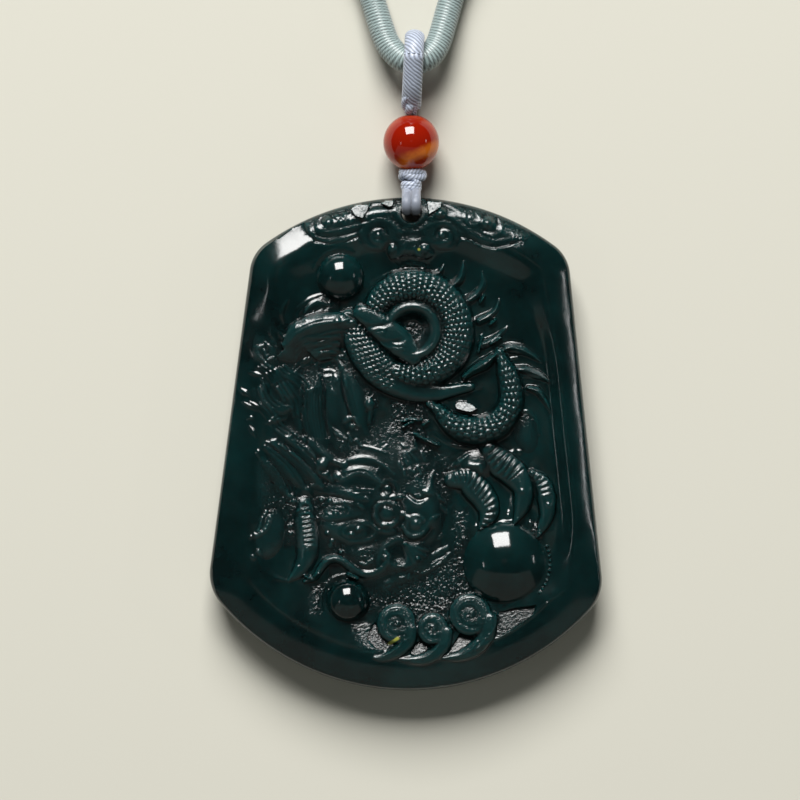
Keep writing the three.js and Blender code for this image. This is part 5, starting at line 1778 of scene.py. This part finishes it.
def coil_route():
    """The cord's coil: inward on the floor, up the inside, and outward over the lower layer."""
    total = 2 * COIL_SPIRAL_TURNS + COIL_RAMP_TURNS
    turns = np.linspace(0, total, int(total * COIL_STEPS) + 1)
    inward = np.clip(turns / COIL_SPIRAL_TURNS, 0, 1)
    outward = np.clip((turns - COIL_SPIRAL_TURNS - COIL_RAMP_TURNS) / COIL_SPIRAL_TURNS, 0, 1)
    climb = np.clip((turns - COIL_SPIRAL_TURNS) / COIL_RAMP_TURNS, 0, 1)
    radius = COIL_OUTER - (COIL_OUTER - COIL_INNER) * (inward - outward)
    height = COIL_LOW + (COIL_HIGH - COIL_LOW) * climb * climb * (3 - 2 * climb)
    bearing = COIL_START + 360 * turns
    from_tie = (bearing - TIE_ANGLE + 180) % 360 - 180
    height = height + TIE_LIFT * np.exp(-((from_tie / TIE_SPREAD) ** 2))
    return np.column_stack([round_path(COIL_CENTRE, radius, bearing), height])


def neck_cord_route():
    """The whole neck cord, from the bail round the coil and back to the bail."""
    out = smooth_path([BAIL_SEAT] + RIGHT_LEAD + [tuple(coil_route()[0])])
    back = smooth_path([tuple(coil_route()[-1])] + LEFT_LEAD[::-1] + [BAIL_SEAT])
    return np.vstack([out[:-1], coil_route(), back[1:]])


class PENDANT_OT_neck_cord(bpy.types.Operator):
    """Winds the neck cord through the bail and into its coil"""

    bl_idname = "pendant.neck_cord"
    bl_label = "Neck cord"

    def execute(self, context):
        settings = context.scene.pendant_neck_cord
        pitch = settings.winding / MM
        route = evenly(neck_cord_route(), pitch / NECK_CORD_STEPS)
        # gap colour: painted shade between the turns of the thread
        gap = [c * 0.14 for c in settings.thread]
        silk = silk_material("Neck cord silk", settings.thread, gap, 0.2)
        tree = wound_cord_tree()
        mesh = wound_cord(tree, route, Width=settings.diameter, Thickness=settings.diameter, Sides=16,
                          Winding=settings.winding, Starts=3, Depth=0.08, Material=silk)
        cord = piece_from("neck_cord", mesh, silk, "neck_silk",
                          "neck_cord_right", "neck_cord_left", "neck_cord_coil")
        mesh = wound_cord(tree, evenly(tie_route(), 0.15), Width=TIE_THREAD * MM, Thickness=TIE_THREAD * MM,
                          Sides=10, Winding=0.0006, Starts=2, Depth=0.1, Material=silk)
        tie = piece_from("neck_cord_tie", mesh, silk, "neck_silk")
        return {"FINISHED"}


class PENDANT_OT_stage(bpy.types.Operator):
    """Sets the floor, the studio light and the camera"""

    bl_idname = "pendant.stage"
    bl_label = "Stage"

    def execute(self, context):
        settings = context.scene.pendant_stage
        self.lay_floor(settings)
        self.hang_lights()
        self.set_camera(context, settings)
        return {"FINISHED"}

    def lay_floor(self, settings):
        """A plain matt floor, wider than any view."""
        half = 4.0
        corners = [(-half, -half, 0), (half, -half, 0), (half, half, 0), (-half, half, 0)]
        mesh = bpy.data.meshes.new("floor")
        mesh.from_pydata(corners, [], [(0, 1, 2, 3)])
        floor = placed("floor", mesh)
        material, graph = new_material("Floor")
        matt = {"Base Color": (*settings.floor, 1), "Roughness": 0.85, "Specular IOR Level": 0.1}
        mesh.materials.append(finished(material, graph, matt))

    def hang_lights(self):
        """Panels that face the plaque, and a dim surround."""
        # Name, bearing from +X, degrees from straight up, distance, width, height, radiance, colour
        panels = [
            ("key", 97, 51, 1.2, 0.66, 0.68, 19.0, (1.0, 0.99, 0.97)),
            ("front", 268, 55, 1.5, 5.0, 2.0, 0.22, (0.97, 1.0, 0.88)),
            ("right strip", 6, 64, 1.2, 0.24, 0.035, 9.0, (1.0, 1.0, 1.0)),
            ("left strip", 186, 44, 1.2, 0.2, 0.04, 6.0, (1.0, 1.0, 1.0)),
            ("overhead", 85, 4.6, 1.6, 0.26, 0.2, 0.2, (1.0, 0.86, 0.7)),
        ]
        for name, bearing, tilt, distance, width, height, radiance, colour in panels:
            light = bpy.data.lights.new(name, "AREA")
            light.shape = "RECTANGLE"
            light.size = width
            light.size_y = height
            light.energy = radiance * math.pi * width * height
            light.color = colour
            lamp = placed(name, light)
            turn, lean = math.radians(bearing), math.radians(tilt)
            lamp.location = (distance * math.sin(lean) * math.cos(turn),
                             distance * math.sin(lean) * math.sin(turn), distance * math.cos(lean))
            lamp.rotation_euler = (lean, 0, turn + math.pi / 2)
            lamp.visible_camera = False
        world = bpy.data.worlds.new("Studio")
        bpy.context.scene.world = world
        world.use_nodes = True
        world.node_tree.nodes["Background"].inputs["Color"].default_value = (0.9, 0.95, 1.0, 1)
        world.node_tree.nodes["Background"].inputs["Strength"].default_value = 0.035

    def set_camera(self, context, settings):
        """A camera that looks straight down."""
        lens = bpy.data.cameras.new("camera")
        camera = placed("camera", lens)
        lens.sensor_width = 36.0
        lens.lens = lens.sensor_width * settings.camera_distance / settings.frame_width
        across, up, height = CAMERA_AIM
        camera.location = (across, up, settings.camera_distance + height)
        lens.clip_start = 0.01
        context.scene.camera = camera
        context.scene.view_settings.view_transform = "Standard"


class PENDANT_PT_pieces(bpy.types.Panel):
    """Lists the pendant's pieces"""

    bl_idname = "PENDANT_PT_pieces"
    bl_label = "Jade dragon pendant"
    bl_space_type = "VIEW_3D"
    bl_region_type = "UI"
    bl_category = "Pendant"

    def draw(self, context):
        for operator in OPERATORS:
            self.layout.operator(operator.bl_idname)


OPERATORS = [
    PENDANT_OT_stage, PENDANT_OT_plaque, PENDANT_OT_bead, PENDANT_OT_hanger, PENDANT_OT_neck_cord,
]
SETTINGS = {
    "pendant_plaque": PlaqueSettings,
    "pendant_hanger": HangerSettings,
    "pendant_neck_cord": NeckCordSettings,
    "pendant_stage": StageSettings,
}


def register():
    """Makes the settings, the operators and the panel known."""
    for group in [*SETTINGS.values(), *OPERATORS, PENDANT_PT_pieces]:
        bpy.utils.register_class(group)
    for name, group in SETTINGS.items():
        setattr(bpy.types.Scene, name, bpy.props.PointerProperty(type=group))


def unregister():
    """Takes them away again."""
    for name in SETTINGS:
        delattr(bpy.types.Scene, name)
    for group in [PENDANT_PT_pieces, *OPERATORS[::-1], *SETTINGS.values()]:
        bpy.utils.unregister_class(group)


def main():
    """Builds every piece."""
    register()
    bpy.ops.pendant.stage()
    bpy.ops.pendant.plaque()
    bpy.ops.pendant.bead()
    bpy.ops.pendant.hanger()
    bpy.ops.pendant.neck_cord()


if __name__ == "__main__":
    main()
